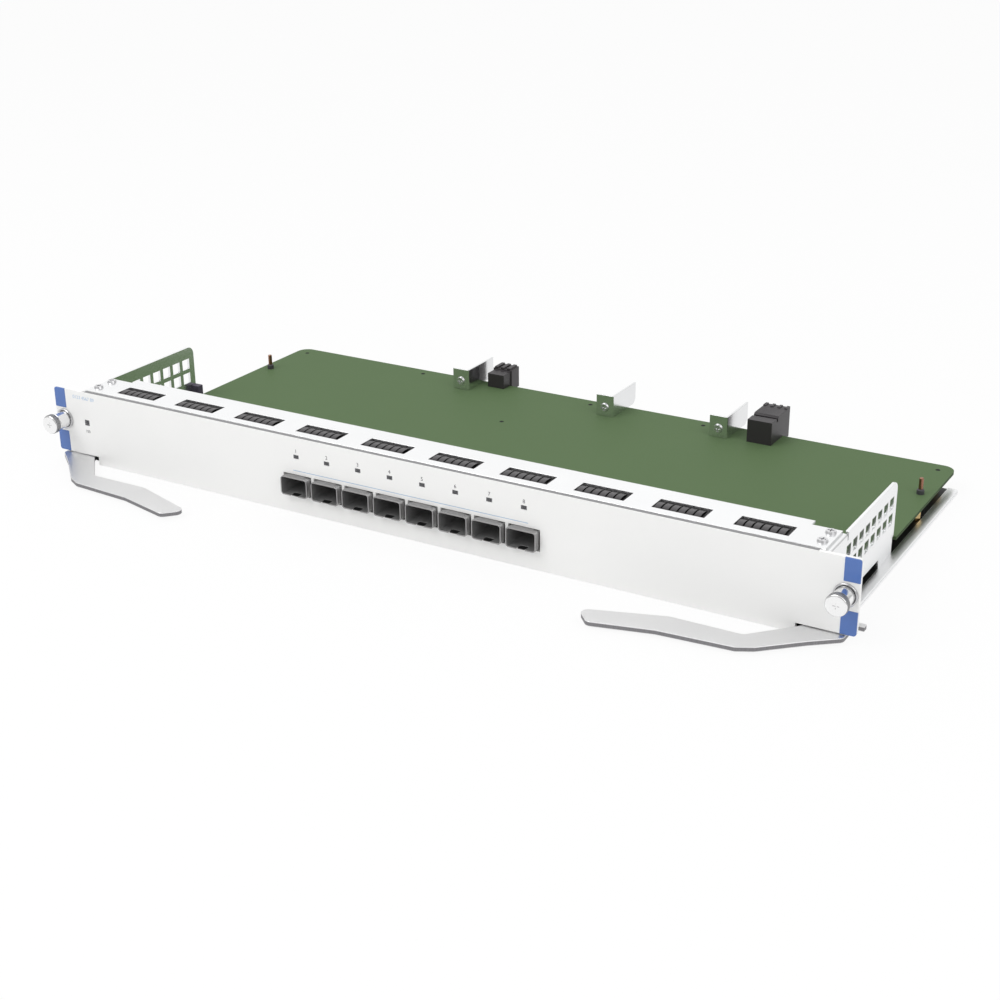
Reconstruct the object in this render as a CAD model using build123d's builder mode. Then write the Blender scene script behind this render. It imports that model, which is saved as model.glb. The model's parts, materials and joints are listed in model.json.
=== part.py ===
from build123d import *
import os

# Switch line card, one slot high, lying as it slides into its chassis.
# X runs along the faceplate, Y from the faceplate back into the chassis, Z up.
# The origin is on the rear face of the faceplate, centred, level with the underside.

# Circuit board
board_width = 368.0
board_front = 4.6
board_rear = 170.7
board_thick = 1.6
board_corner = 6.0
board_rear_shift = 2.8
board_step_gap = 1.5

# Base tray and its side rails
tray_thick = 1.2
tray_setback = 7.9
tray_corner = 1.5
rail_width = 4.4
rail_clearance = 3.0
tray_lip_height = 6.2
tray_lip_inset = 24.4

# Small fasteners repeat often, so their heads and posts have eight sides.
# Shanks and bores out of sight have six, and pressed-in feet have ten, so that they can't turn.
fastener_sides = 8
shank_sides = 6
press_sides = 10
hole_clearance = 0.1

# Hexagonal standoffs and the screws that come up into them through the tray
standoff_height = 6.2
standoff_radius = 2.8
pilot_radius = 1.25
tray_screw_radius = 1.1
tray_screw_length = 5.0
tray_screw_head_radius = 2.0
tray_screw_head_height = 0.6
tray_screw_sink = 0.1
rear_standoff_inset = 7.1
rear_standoff_setback = 12.2
edge_standoff_inset = 3.9
edge_standoff_setback = 49.7
middle_standoff_x = -25.5
middle_standoff_setback = 48.7
front_standoff_y = 14.0

# Faceplate
face_height = 35.6
face_thick = 2.0
face_corner = 1.2
ear_reach = 13.5
ear_lift = 4.1
notch_reach = 24.0
stud_radius = 1.5
stud_length = 5.6
nut_radius = 3.0
nut_height = 2.4

# Blue inlays beside the captive screws
inlay_width = 6.5
inlay_thick = 0.8
inlay_depth = 0.6
inlay_clear_low = 1.3
inlay_clear_high = 0.7

# Seam gasket in its rebate along the top of the faceplate
gasket_end_inset = 1.4
gasket_height = 2.2
gasket_sink = 0.4
rebate_depth = 1.5

# Top strip with its contact windows
strip_thick = 1.0
strip_drop = 0.4
strip_front = 2.0
strip_rear = 25.0
strip_end_rear = 21.0
strip_end_inset = 2.0
strip_end_length = 12.5
strip_lip_height = 4.0
window_count = 10
window_end = 10.25
window_bridge = 12.25
window_width = 9.2
window_y = 10.9
strip_screw_inset = 5.5
strip_screw_ys = (8.1, 17.1)

# Sprung contact strip under the windows
contact_thick = 0.3
contact_margin = 2.4
contact_leaf_gap = 0.6
contact_leaf_rise = 0.9

# Side brackets
bracket_thick = 1.5
board_gap = 0.5
wall_low = 6.2
wall_rear = 81.5
wall_drop = 0.8
wall_corner = 4.0
foot_front = 63.6
foot_rear = 80.0
foot_step = 9.5
foot_flange_width = 8.5
foot_flange_inset = 1.0
front_flange_width = 12.5
front_flange_low = 7.0
front_flange_drop = 3.2
top_flange_width = 14.0
top_flange_front = 3.4
relief_width = 1.2
relief_depth = 3.0
air_hole = 5.2
air_pitch = 7.4
air_columns = 8
air_rows = 2
air_rear_margin = 6.3
air_drop = 12.1
bracket_stud_inset = 6.5
bracket_stud_drop = 3.0
status_slot = 4.0

# Pan head screws
pan_radius = 1.45
pan_length = 5.0
pan_head_radius = 2.5
pan_head_height = 1.0

# Dark blocks between the board and the rear ends of the side brackets
wall_block_depth = 4.6
wall_block_length = 3.6
wall_block_height = 5.6

# Port cages
port_count = 8
port_pitch = 16.4
cage_width = 14.2
cage_height = 8.95
cage_length = 48.8
cage_proud = 3.0
cage_wall = 0.5
port_clearance = 0.4
latch_notch_width = 4.2
latch_notch_length = 3.4
finger_rise = 0.3
finger_start = 0.9
finger_length = 6.0
top_finger_width = 9.6

# Receptacle connectors inside the cages
receptacle_width = 11.6
receptacle_height = 5.6
receptacle_length = 9.0
receptacle_slot_width = 9.4
receptacle_slot_height = 1.5
receptacle_slot_depth = 5.0
receptacle_slot_rise = 3.4
receptacle_gap = 0.3

# Light pipes and the light chips under them
pipe_size = 1.5
pipe_clearance = 0.1
light_drop = 8.8
pipe_drop_gap = 2.2
pipe_bar_y = 34.0
pipe_bar_length = 2.0
pipe_post_gap = 1.4
status_inset = 3.5
status_drop = 15.1
status_pipe_y = 8.2
status_collar = 5.6
status_collar_thick = 1.0
chip_length = 1.6
chip_width = 0.9
chip_height = 0.6
chip_gap = 0.1

# Switch chip and heat sink
switch_chip_size = 14.0
switch_chip_height = 1.2
sink_gap = 2.2
sink_width = 28.0
sink_length = 15.0
sink_base = 1.4
sink_height = 6.0
fin_count = 7
fin_thick = 0.9

# Guide brackets at the rear of the board
guide_thick = 1.0
guide_setback = 17.2
guide_overhang = 8.1
guide_width = 9.2
guide_height = 10.9
guide_chamfer = 2.2
guide_right_xs = (-63.6, 19.8, 80.6)
guide_names = ("left", "centre", "right")
guide_block_width = 6.6
guide_block_length = 6.0
guide_block_height = 8.4
guide_screw_rise = 4.6

# Signal connector
signal_x = -53.5
signal_setback = 6.7
signal_overhang = 8.8
signal_width = 9.6
signal_height = 7.4
signal_head_width = 11.0
signal_head_height = 8.2
signal_ridge_width = 2.0
signal_ridge_rise = 1.0
signal_ridge_pitch = 3.6
signal_columns = 3

# Power connector
power_x = 96.2
power_setback = 15.7
power_overhang = 7.5
power_width = 12.4
power_height = 11.4
power_body_length = 6.2
power_groove = 1.6
power_groove_depth = 1.6
power_head_rise = 0.8
power_ridge_width = 1.5
power_ridge_rise = 0.5
power_ridge_length = 4.0
power_columns = 4

# What both connectors share past the board's rear edge
connector_drop = 2.6
connector_edge_gap = 0.3
contact_hole = 1.6
contact_hole_pitch = 2.8
contact_hole_rows = 2
contact_hole_depth = 4.0

# Posts near the rear corners of the board
post_inset = 5.4
post_setback = 38.0
post_radius = 1.0
post_height = 7.6
collar_radius = 1.7
collar_height = 2.4

# Ejector levers, measured from the pivot of the right one
lever_thick = 2.2
lever_gap = 0.3
pivot_inset = 2.9
pivot_setback = 7.5
pivot_radius = 2.5
pivot_running = 0.05
pivot_seat = 0.02
pivot_head_radius = 3.8
pivot_head_height = 1.1
hub_reach = 6.4
heel_reach = 8.0
heel_front = 11.8
fork_low = 4.6
fork_high = 0.6
fork_root = 4.6
claw_reach = 11.8
claw_width = 2.8
shoulder_in = 2.9
shoulder_front = 20.6
throat_in = 9.4
throat_front = 9.6
elbow_in = 25.7
elbow_inner_front = 27.2
elbow_out = 18.0
elbow_outer_front = 34.6
grip_start = 24.5
grip_outer_front = 38.0
flare_start = 55.9
flare_outer_front = 40.2
tip_far = 89.8
tip_inner_front = 38.2
tip_near = 82.0
tip_outer_front = 46.6
lever_round = 3.0
lever_bend_round = 8.0

# Captive screws
screw_inset = 5.2
screw_drop = 15.2
knob_radius = 4.6
knob_front = 12.8
knob_rear = 9.6
skirt_radius = 3.95
skirt_bore = 3.2
skirt_end = 2.8
skirt_clearance = 0.1
cavity_roof = 8.9
shank_radius = 2.0
shank_tip = 6.6
shank_clearance = 0.1
groove_depth = 0.4
ferrule_ring_radius = 4.9
ferrule_ring_height = 1.0
ferrule_radius = 4.6
ferrule_back = 2.0
ferrule_floor = 0.9
ferrule_fit = 0.1
clip_radius = 3.4
clip_thick = 0.8
clip_gap = 0.05
clip_side_play = 0.05
clip_mouth = 2.4
spring_wire = 0.5
spring_radius = 2.7
spring_turns = 3.5
spring_steps = 6
spring_gap = 0.02

# Heights and places that follow from the sizes above
board_under = tray_thick + standoff_height
board_top = board_under + board_thick
wall_in = board_width / 2 + board_gap
wall_out = wall_in + bracket_thick
tray_half = wall_out + rail_width
tray_depth = board_rear - tray_setback
rail_front = pivot_setback + claw_reach + rail_clearance
rail_rear = tray_depth - tray_corner
tray_lip_half = tray_half - tray_lip_inset
board_step_y = wall_rear + board_step_gap
face_half = wall_out + ear_reach
strip_top = face_height - strip_drop
strip_under = strip_top - strip_thick
strip_half = wall_out - strip_end_inset
gasket_half = strip_half - gasket_end_inset
window_pitch = 2 * (strip_half - window_end) / window_count
window_length = window_pitch - window_bridge
flange_under = strip_under - bracket_thick
front_flange_top = strip_under - front_flange_drop
bracket_stud_z = front_flange_top - bracket_stud_drop
wall_top = face_height - wall_drop
air_row_z = wall_top - air_drop
light_z = face_height - light_drop
status_z = face_height - status_drop
screw_z = face_height - screw_drop
inlay_gap_low = screw_z - ferrule_ring_radius - inlay_clear_low
inlay_gap_high = screw_z + ferrule_ring_radius + inlay_clear_high
port_z = board_top + cage_height / 2
cage_front = -face_thick - cage_proud
cage_rear = cage_front + cage_length
pipe_y = cage_rear + pipe_drop_gap + pipe_size / 2
chip_top = board_top + chip_height
status_x = status_inset - board_width / 2
switch_chip_y = pipe_y + pipe_size / 2 + sink_gap + sink_length / 2
guide_front = board_rear - guide_setback
guide_rear = board_rear + guide_overhang
signal_front = board_rear - signal_setback
signal_rear = board_rear + signal_overhang
power_front = board_rear - power_setback
power_step_y = power_front + power_body_length
power_rear = board_rear + power_overhang
lever_low = tray_thick + lever_gap
lever_top = lever_low + lever_thick
pivot_x = tray_half - pivot_inset
screw_x = face_half - screw_inset
stud_x = wall_in - bracket_stud_inset
strip_screw_x = wall_out - strip_screw_inset
port_xs = [(n - (port_count - 1) / 2) * port_pitch for n in range(port_count)]
board_half = board_width / 2
rear_standoff_x = board_half - rear_standoff_inset
edge_standoff_x = board_half - edge_standoff_inset
standoff_places = [
    (board_rear_shift - rear_standoff_x, board_rear - rear_standoff_setback),
    (board_rear_shift + rear_standoff_x, board_rear - rear_standoff_setback),
    (board_rear_shift - edge_standoff_x, board_rear - edge_standoff_setback),
    (board_rear_shift + edge_standoff_x, board_rear - edge_standoff_setback),
    (0, front_standoff_y),
    (middle_standoff_x, board_rear - middle_standoff_setback),
]
post_places = [
    (board_rear_shift + side * (board_half - post_inset), board_rear - post_setback)
    for side in (-1, 1)
]
stud_places = [(side * stud_x, bracket_stud_z) for side in (-1, 1)]


def keep(piece, name):
    """Label a finished piece and write it to its own file."""
    piece.part.label = name
    export_step(piece.part, f"parts/{name}.step")


def plane_at(y):
    """A plane parallel to the faceplate at a distance y behind the seating plane."""
    return Plane.XZ.offset(-y)


def fastener_round(radius, mode=Mode.ADD):
    """The few-sided round of a small fastener's head or of a post, or of its seat."""
    RegularPolygon(radius, fastener_sides, mode=mode)


def shank_round(radius, mode=Mode.ADD):
    """The six-sided round of a shank out of sight, or of the bore that it goes through."""
    RegularPolygon(radius, shank_sides, mode=mode)


def screw_plane(side):
    """A level plane through a captive screw's axis, its origin on the seating plane."""
    return Plane(origin=(side * screw_x, 0, screw_z))


def inlay_field(side, low, high):
    """The outline of one blue inlay, out to the rounded edge of the faceplate."""
    with Locations((side * (face_half - inlay_width / 2), (low + high) / 2)):
        Rectangle(inlay_width, high - low)


os.makedirs("parts", exist_ok=True)

# Faceplate with its port cut-outs, light holes, inlay pockets, gasket rebate and rear studs
with BuildPart() as faceplate:
    with BuildSketch(Plane.XZ) as face_outline:
        with Locations((0, face_height / 2)):
            Rectangle(2 * face_half, face_height)
        for side in (-1, 1):
            with Locations((side * (face_half - notch_reach / 2), ear_lift / 2)):
                Rectangle(notch_reach, ear_lift, mode=Mode.SUBTRACT)
        ends = face_outline.vertices().group_by(Axis.X)
        fillet(ends[0] + ends[-1], face_corner)
        with Locations((0, port_z)):
            with GridLocations(port_pitch, 1, port_count, 1):
                Rectangle(
                    cage_width + 2 * port_clearance,
                    cage_height + 2 * port_clearance,
                    mode=Mode.SUBTRACT,
                )
        with Locations((0, light_z)):
            with GridLocations(port_pitch, 1, port_count, 1):
                Rectangle(
                    pipe_size + 2 * pipe_clearance,
                    pipe_size + 2 * pipe_clearance,
                    mode=Mode.SUBTRACT,
                )
        with Locations((status_x, status_z)):
            Rectangle(
                pipe_size + 2 * pipe_clearance,
                pipe_size + 2 * pipe_clearance,
                mode=Mode.SUBTRACT,
            )
        with Locations((-screw_x, screw_z), (screw_x, screw_z)):
            RegularPolygon(ferrule_radius + ferrule_fit, press_sides, mode=Mode.SUBTRACT)
    extrude(amount=face_thick)
    with BuildSketch(Plane.XZ.offset(face_thick)):
        for side in (-1, 1):
            inlay_field(side, ear_lift, inlay_gap_low)
            inlay_field(side, inlay_gap_high, face_height)
    extrude(amount=-inlay_depth, mode=Mode.SUBTRACT)
    with BuildSketch(Plane.XZ):
        with Locations((0, face_height - (gasket_height + gasket_sink) / 2)):
            Rectangle(2 * gasket_half, gasket_height + gasket_sink)
    extrude(amount=rebate_depth, mode=Mode.SUBTRACT)
    with BuildSketch(Plane.XZ):
        with Locations(*stud_places):
            shank_round(stud_radius)
    extrude(amount=-stud_length)
keep(faceplate, "faceplate")

# Blue inlays, one above and one below each captive screw
for side, hand in ((-1, "left"), (1, "right")):
    for low, high, level in (
        (ear_lift, inlay_gap_low, "lower"),
        (inlay_gap_high, face_height, "upper"),
    ):
        with BuildPart() as ear_inlay:
            with BuildSketch(Plane.XZ.offset(face_thick - inlay_depth)) as inlay_outline:
                inlay_field(side, low, high)
                outer = inlay_outline.vertices().sort_by(Axis.X)
                outer = outer[:2] if side < 0 else outer[-2:]
                outer = outer.sort_by(Axis.Y)
                fillet(outer[0] if level == "lower" else outer[-1], face_corner)
            extrude(amount=inlay_thick)
        keep(ear_inlay, f"ear_inlay_{hand}_{level}")

# Seam gasket, seated in the rebate and backed by the top strip's lip
with BuildPart() as seam_gasket:
    with BuildSketch(plane_at(-rebate_depth)):
        with Locations((0, face_height - gasket_sink - gasket_height / 2)):
            Rectangle(2 * gasket_half, gasket_height)
    extrude(amount=-(rebate_depth + strip_front))
keep(seam_gasket, "seam_gasket")

# Top strip: a flat sheet with ten windows and a lip folded down along its front
with BuildPart() as top_strip:
    with BuildSketch(Plane.XY.offset(strip_under)):
        with Locations((0, (strip_front + strip_end_rear) / 2)):
            Rectangle(2 * strip_half, strip_end_rear - strip_front)
        with Locations((0, (strip_front + strip_rear) / 2)):
            Rectangle(2 * (strip_half - strip_end_length), strip_rear - strip_front)
        with Locations((0, window_y)):
            with GridLocations(window_pitch, 1, window_count, 1):
                Rectangle(window_length, window_width, mode=Mode.SUBTRACT)
        for side in (-1, 1):
            with Locations(*[(side * strip_screw_x, y) for y in strip_screw_ys]):
                shank_round(pan_radius + hole_clearance, Mode.SUBTRACT)
    extrude(amount=strip_thick)
    with BuildSketch(plane_at(strip_front)):
        with Locations((0, strip_top - strip_lip_height / 2)):
            Rectangle(2 * strip_half, strip_lip_height)
    extrude(amount=-strip_thick)
    fold = top_strip.edges().filter_by(Axis.X).filter_by_position(Axis.Z, strip_top, strip_top)
    fillet(fold.sort_by(Axis.Y)[0], strip_thick * 0.8)
keep(top_strip, "top_strip")

# Sprung contact strip: one pressed strip whose leaves bow up into the windows
contact_under = strip_under - contact_thick
contact_reach = window_width / 2 - contact_margin / 4
contact_leaf = window_length - 2 * contact_leaf_gap
with BuildPart() as contact_strip:
    with BuildSketch(Plane.XY.offset(contact_under)):
        with Locations((0, window_y)):
            Rectangle(
                (window_count - 1) * window_pitch + window_length + 2 * contact_margin,
                window_width + contact_margin,
            )
            with GridLocations(window_pitch, 1, window_count, 1):
                Rectangle(window_length, 2 * contact_reach, mode=Mode.SUBTRACT)
    extrude(amount=contact_thick)
    for window in range(window_count):
        window_x = (window - (window_count - 1) / 2) * window_pitch
        with BuildSketch(Plane.YZ.offset(window_x - contact_leaf / 2)):
            with Locations((window_y, contact_under)):
                Polygon(
                    (-contact_reach, 0),
                    (0, contact_leaf_rise),
                    (contact_reach, 0),
                    (contact_reach, contact_thick),
                    (0, contact_leaf_rise + contact_thick),
                    (-contact_reach, contact_thick),
                    align=None,
                )
        extrude(amount=contact_leaf)
keep(contact_strip, "contact_strip")

# Right side bracket: a folded, perforated sheet with a front flange, a top flange and a foot
with BuildPart() as side_bracket_right:
    with BuildSketch(Plane.YZ.offset(wall_in)) as wall_outline:
        Polygon(
            (0, wall_low),
            (foot_front, wall_low),
            (foot_front, tray_thick),
            (foot_rear, tray_thick),
            (foot_rear, foot_step),
            (wall_rear, foot_step),
            (wall_rear, wall_top),
            (strip_end_rear + relief_width, wall_top),
            (strip_end_rear + relief_width, strip_under - relief_depth),
            (strip_end_rear, strip_under - relief_depth),
            (strip_end_rear, strip_under),
            (0, strip_under),
            align=None,
        )
        rear_top = wall_outline.vertices().sort_by_distance((wall_rear, wall_top))[0]
        fillet(rear_top, wall_corner)
        air_middle = wall_rear - air_rear_margin - (air_columns - 1) / 2 * air_pitch
        with Locations((air_middle, air_row_z)):
            with GridLocations(air_pitch, air_pitch, air_columns, air_rows):
                Rectangle(air_hole, air_hole, mode=Mode.SUBTRACT)
    extrude(amount=bracket_thick)
    with BuildSketch(Plane.XZ):
        with Locations((wall_in - front_flange_width / 2, (front_flange_low + front_flange_top) / 2)):
            Rectangle(front_flange_width, front_flange_top - front_flange_low)
        with Locations((stud_x, bracket_stud_z)):
            shank_round(stud_radius + hole_clearance, Mode.SUBTRACT)
        with Locations((-status_x, status_z)):
            Rectangle(status_slot, status_slot, mode=Mode.SUBTRACT)
    extrude(amount=-bracket_thick)
    with BuildSketch(Plane.XY.offset(flange_under)):
        with Locations((wall_in - top_flange_width / 2, (top_flange_front + strip_end_rear) / 2)):
            Rectangle(top_flange_width, strip_end_rear - top_flange_front)
        with Locations(*[(strip_screw_x, y) for y in strip_screw_ys]):
            shank_round(pan_radius + hole_clearance, Mode.SUBTRACT)
    extrude(amount=bracket_thick)
    with BuildSketch(Plane.XY.offset(tray_thick)):
        with Locations((wall_in - foot_flange_width / 2, (foot_front + foot_rear) / 2)):
            Rectangle(foot_flange_width, foot_rear - foot_front - 2 * foot_flange_inset)
    extrude(amount=bracket_thick)
    outside = side_bracket_right.edges().filter_by_position(Axis.X, wall_out, wall_out)
    top_fold = outside.filter_by(Axis.Y).filter_by_position(Axis.Z, strip_under, strip_under)
    fillet(top_fold, bracket_thick * 0.8)
keep(side_bracket_right, "side_bracket_right")

with BuildPart() as side_bracket_left:
    mirror(side_bracket_right.part, about=Plane.YZ)
keep(side_bracket_left, "side_bracket_left")

# Nuts on the faceplate's rear studs
with BuildPart() as stud_nuts:
    with BuildSketch(plane_at(bracket_thick)):
        with Locations(*stud_places):
            RegularPolygon(nut_radius, 6)
            shank_round(stud_radius + hole_clearance, Mode.SUBTRACT)
    extrude(amount=-nut_height)
keep(stud_nuts, "stud_nuts")

# Base tray: floor with side rails hemmed to double thickness and a front lip behind the faceplate
with BuildPart() as base_tray:
    with BuildSketch(Plane.XY) as tray_outline:
        with Locations((0, tray_depth / 2)):
            Rectangle(2 * tray_half, tray_depth)
        fillet(tray_outline.vertices().group_by(Axis.Y)[-1], tray_corner)
        with Locations((-pivot_x, pivot_setback), (pivot_x, pivot_setback)):
            RegularPolygon(pivot_radius + pivot_seat, press_sides, mode=Mode.SUBTRACT)
        with Locations(*standoff_places):
            shank_round(tray_screw_radius + hole_clearance, Mode.SUBTRACT)
    extrude(amount=tray_thick)
    with BuildSketch(Plane.XY):
        with Locations(*standoff_places):
            fastener_round(tray_screw_head_radius + hole_clearance)
    extrude(amount=tray_screw_sink + tray_screw_head_height, mode=Mode.SUBTRACT)
    with BuildSketch(Plane.XY.offset(tray_thick)):
        for side in (-1, 1):
            with Locations((side * (tray_half - rail_width / 2), (rail_front + rail_rear) / 2)):
                Rectangle(rail_width, rail_rear - rail_front)
    extrude(amount=tray_thick)
    with BuildSketch(Plane.XZ):
        with Locations((0, tray_lip_height / 2)):
            Rectangle(2 * tray_lip_half, tray_lip_height)
    extrude(amount=-tray_thick)
    fold = base_tray.edges().filter_by(Axis.X).filter_by_position(Axis.Y, 0, 0)
    fillet(fold.sort_by(Axis.Z)[0], tray_thick * 0.8)
keep(base_tray, "base_tray")

# Circuit board: centred between the brackets and set over to one side behind them.
# The standoffs are soldered under it, so only the two posts go through.
with BuildPart() as circuit_board:
    with BuildSketch(Plane.XY.offset(board_under)) as board_outline:
        with Locations((0, (board_front + board_step_y) / 2)):
            Rectangle(board_width, board_step_y - board_front)
        with Locations((board_rear_shift, (board_step_y + board_rear) / 2)):
            Rectangle(board_width, board_rear - board_step_y)
        fillet(board_outline.vertices().group_by(Axis.Y)[-1], board_corner)
        with Locations(*post_places):
            fastener_round(post_radius + hole_clearance, Mode.SUBTRACT)
    extrude(amount=board_thick)
keep(circuit_board, "circuit_board")

# Standoffs between the tray and the board
with BuildPart() as board_standoffs:
    with BuildSketch(Plane.XY.offset(tray_thick)):
        with Locations(*standoff_places):
            RegularPolygon(standoff_radius, 6)
            shank_round(pilot_radius, Mode.SUBTRACT)
    extrude(amount=standoff_height)
keep(board_standoffs, "board_standoffs")

# Screws up through the tray into the standoffs, their heads sunk in its underside
with BuildPart() as tray_screws:
    with BuildSketch(Plane.XY.offset(tray_screw_sink)):
        with Locations(*standoff_places):
            fastener_round(tray_screw_head_radius)
    extrude(amount=tray_screw_head_height)
    with BuildSketch(Plane.XY.offset(tray_screw_sink)):
        with Locations(*standoff_places):
            shank_round(tray_screw_radius)
    extrude(amount=tray_screw_length)
keep(tray_screws, "tray_screws")

# One pan head screw, its seat at the origin and its head upwards
with BuildPart() as pan_head_screw:
    with BuildSketch(Plane.XY):
        fastener_round(pan_head_radius)
    extrude(amount=pan_head_height)
    with BuildSketch(Plane.XY):
        shank_round(pan_radius)
    extrude(amount=-pan_length)

# The same screw four times in the top strip and three times in the guide brackets
with BuildPart() as pan_head_screws:
    for side in (-1, 1):
        with Locations(*[(side * strip_screw_x, y, strip_top) for y in strip_screw_ys]):
            add(pan_head_screw.part)
    guide_screw_z = board_top + guide_screw_rise
    for guide_x in guide_right_xs:
        with Locations(Location((guide_x - guide_width / 2, guide_front, guide_screw_z), (90, 0, 0))):
            add(pan_head_screw.part)
keep(pan_head_screws, "pan_head_screws")

# Dark blocks on the board against the rear ends of the brackets' walls
with BuildPart() as wall_blocks:
    with BuildSketch(Plane.XY.offset(board_top)):
        for side in (-1, 1):
            with Locations((side * (wall_in - wall_block_depth / 2), wall_rear - wall_block_length / 2)):
                Rectangle(wall_block_depth, wall_block_length)
    extrude(amount=wall_block_height)
keep(wall_blocks, "wall_blocks")


def port_cage(x):
    """One port cage: a sheet box, open at the front, with a bowed finger where it meets the faceplate."""
    start = cage_front + finger_start
    with BuildPart() as cage:
        with BuildSketch(plane_at(cage_front)):
            with Locations((x, port_z)):
                Rectangle(cage_width, cage_height)
        extrude(amount=-cage_length)
        with BuildSketch(plane_at(cage_front)):
            with Locations((x, port_z)):
                Rectangle(cage_width - 2 * cage_wall, cage_height - 2 * cage_wall)
        extrude(amount=-(cage_length - cage_wall), mode=Mode.SUBTRACT)
        with BuildSketch(Plane.XY.offset(board_top)):
            receptacle_bay = receptacle_length + 2 * receptacle_gap
            with Locations((x, cage_rear - cage_wall - receptacle_bay / 2)):
                Rectangle(receptacle_width + 2 * receptacle_gap, receptacle_bay)
            with Locations((x, cage_front + latch_notch_length / 2)):
                Rectangle(latch_notch_width, latch_notch_length)
        extrude(amount=cage_wall, mode=Mode.SUBTRACT)
        with BuildSketch(Plane.YZ.offset(x - top_finger_width / 2)):
            with Locations((start, board_top + cage_height)):
                Polygon(
                    (0, 0),
                    (finger_length, 0),
                    (finger_length * 0.7, finger_rise),
                    (finger_length * 0.4, finger_rise),
                    align=None,
                )
        extrude(amount=top_finger_width)
    return cage


def port_receptacle(x):
    """One receptacle connector with its card slot, standing on the board inside a cage."""
    front = cage_rear - cage_wall - receptacle_gap - receptacle_length
    with BuildPart() as receptacle:
        with BuildSketch(plane_at(front)):
            with Locations((x, board_top + receptacle_height / 2)):
                Rectangle(receptacle_width, receptacle_height)
        extrude(amount=-receptacle_length)
        with BuildSketch(plane_at(front)):
            with Locations((x, board_top + receptacle_slot_rise)):
                Rectangle(receptacle_slot_width, receptacle_slot_height)
        extrude(amount=-receptacle_slot_depth, mode=Mode.SUBTRACT)
    return receptacle


for number, port_x in enumerate(port_xs, start=1):
    keep(port_cage(port_x), f"port_cage_{number}")
    keep(port_receptacle(port_x), f"port_receptacle_{number}")

# One light pipe, run from the faceplate over its cage and down behind it
with BuildPart() as light_pipe:
    with BuildLine():
        Polyline(
            (0, -face_thick, light_z),
            (0, pipe_y, light_z),
            (0, pipe_y, chip_top + chip_gap),
        )
    with BuildSketch(Plane.XZ.offset(face_thick)):
        with Locations((0, light_z)):
            Rectangle(pipe_size, pipe_size)
    sweep(transition=Transition.RIGHT)

# The eight light pipes, moulded in one with their cross bar and its two posts
bar_half = port_xs[-1] + cage_width / 2 + pipe_post_gap + pipe_size
with BuildPart() as light_pipe_bar:
    with Locations(*[(x, 0, 0) for x in port_xs]):
        add(light_pipe.part)
    with BuildSketch(plane_at(pipe_bar_y)):
        with Locations((0, light_z)):
            Rectangle(2 * bar_half, pipe_size)
        for side in (-1, 1):
            with Locations((side * (bar_half - pipe_size / 2), (board_top + light_z) / 2)):
                Rectangle(pipe_size, light_z - board_top)
    extrude(amount=-pipe_bar_length)
keep(light_pipe_bar, "light_pipe_bar")

# Status light pipe with the collar that seats behind the left bracket's flange
with BuildPart() as status_light_pipe:
    with BuildLine():
        Polyline(
            (status_x, -face_thick, status_z),
            (status_x, status_pipe_y, status_z),
            (status_x, status_pipe_y, chip_top + chip_gap),
        )
    with BuildSketch(Plane.XZ.offset(face_thick)):
        with Locations((status_x, status_z)):
            Rectangle(pipe_size, pipe_size)
    sweep(transition=Transition.RIGHT)
    with BuildSketch(plane_at(bracket_thick)):
        with Locations((status_x, status_z)):
            Rectangle(status_collar, status_collar)
    extrude(amount=-status_collar_thick)
keep(status_light_pipe, "status_light_pipe")

# Light chips on the board under the pipes
with BuildPart() as light_chips:
    with BuildSketch(Plane.XY.offset(board_top)):
        with Locations(*[(x, pipe_y) for x in port_xs], (status_x, status_pipe_y)):
            Rectangle(chip_length, chip_width)
    extrude(amount=chip_height)
keep(light_chips, "light_chips")

# Switch chip
with BuildPart() as switch_chip:
    with BuildSketch(Plane.XY.offset(board_top)):
        with Locations((0, switch_chip_y)):
            Rectangle(switch_chip_size, switch_chip_size)
    extrude(amount=switch_chip_height)
keep(switch_chip, "switch_chip")

# Heat sink with straight fins on the switch chip
fin_pitch = (sink_width - fin_thick) / (fin_count - 1)
with BuildPart() as chip_heat_sink:
    with BuildSketch(Plane.XY.offset(board_top + switch_chip_height)):
        with Locations((0, switch_chip_y)):
            Rectangle(sink_width, sink_length)
    extrude(amount=sink_base)
    with BuildSketch(Plane.XY.offset(board_top + switch_chip_height + sink_base)):
        with Locations((0, switch_chip_y)):
            with GridLocations(fin_pitch, 1, fin_count, 1):
                Rectangle(fin_thick, sink_length)
    extrude(amount=sink_height - sink_base)
keep(chip_heat_sink, "chip_heat_sink")


def guide_bracket(right_x):
    """One folded guide bracket: a screwed leg facing forwards and a blade out past the board."""
    with BuildPart() as bracket:
        with BuildSketch(Plane.XY.offset(board_top)) as plan:
            Polygon(
                (right_x - guide_width, guide_front),
                (right_x, guide_front),
                (right_x, guide_rear),
                (right_x - guide_thick, guide_rear),
                (right_x - guide_thick, guide_front + guide_thick),
                (right_x - guide_width, guide_front + guide_thick),
                align=None,
            )
            fillet(plan.vertices().sort_by_distance((right_x, guide_front))[0], guide_thick * 0.8)
        extrude(amount=guide_height)
        with BuildSketch(plane_at(guide_front)):
            with Locations((right_x - guide_width / 2, board_top + guide_screw_rise)):
                shank_round(pan_radius + hole_clearance)
        extrude(amount=-guide_thick, mode=Mode.SUBTRACT)
        low_rear = bracket.edges().filter_by(Axis.X).filter_by_position(Axis.Y, guide_rear, guide_rear)
        chamfer(low_rear.sort_by(Axis.Z)[0], guide_chamfer)
    return bracket


for guide_name, guide_x in zip(guide_names, guide_right_xs):
    keep(guide_bracket(guide_x), f"guide_bracket_{guide_name}")

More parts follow.
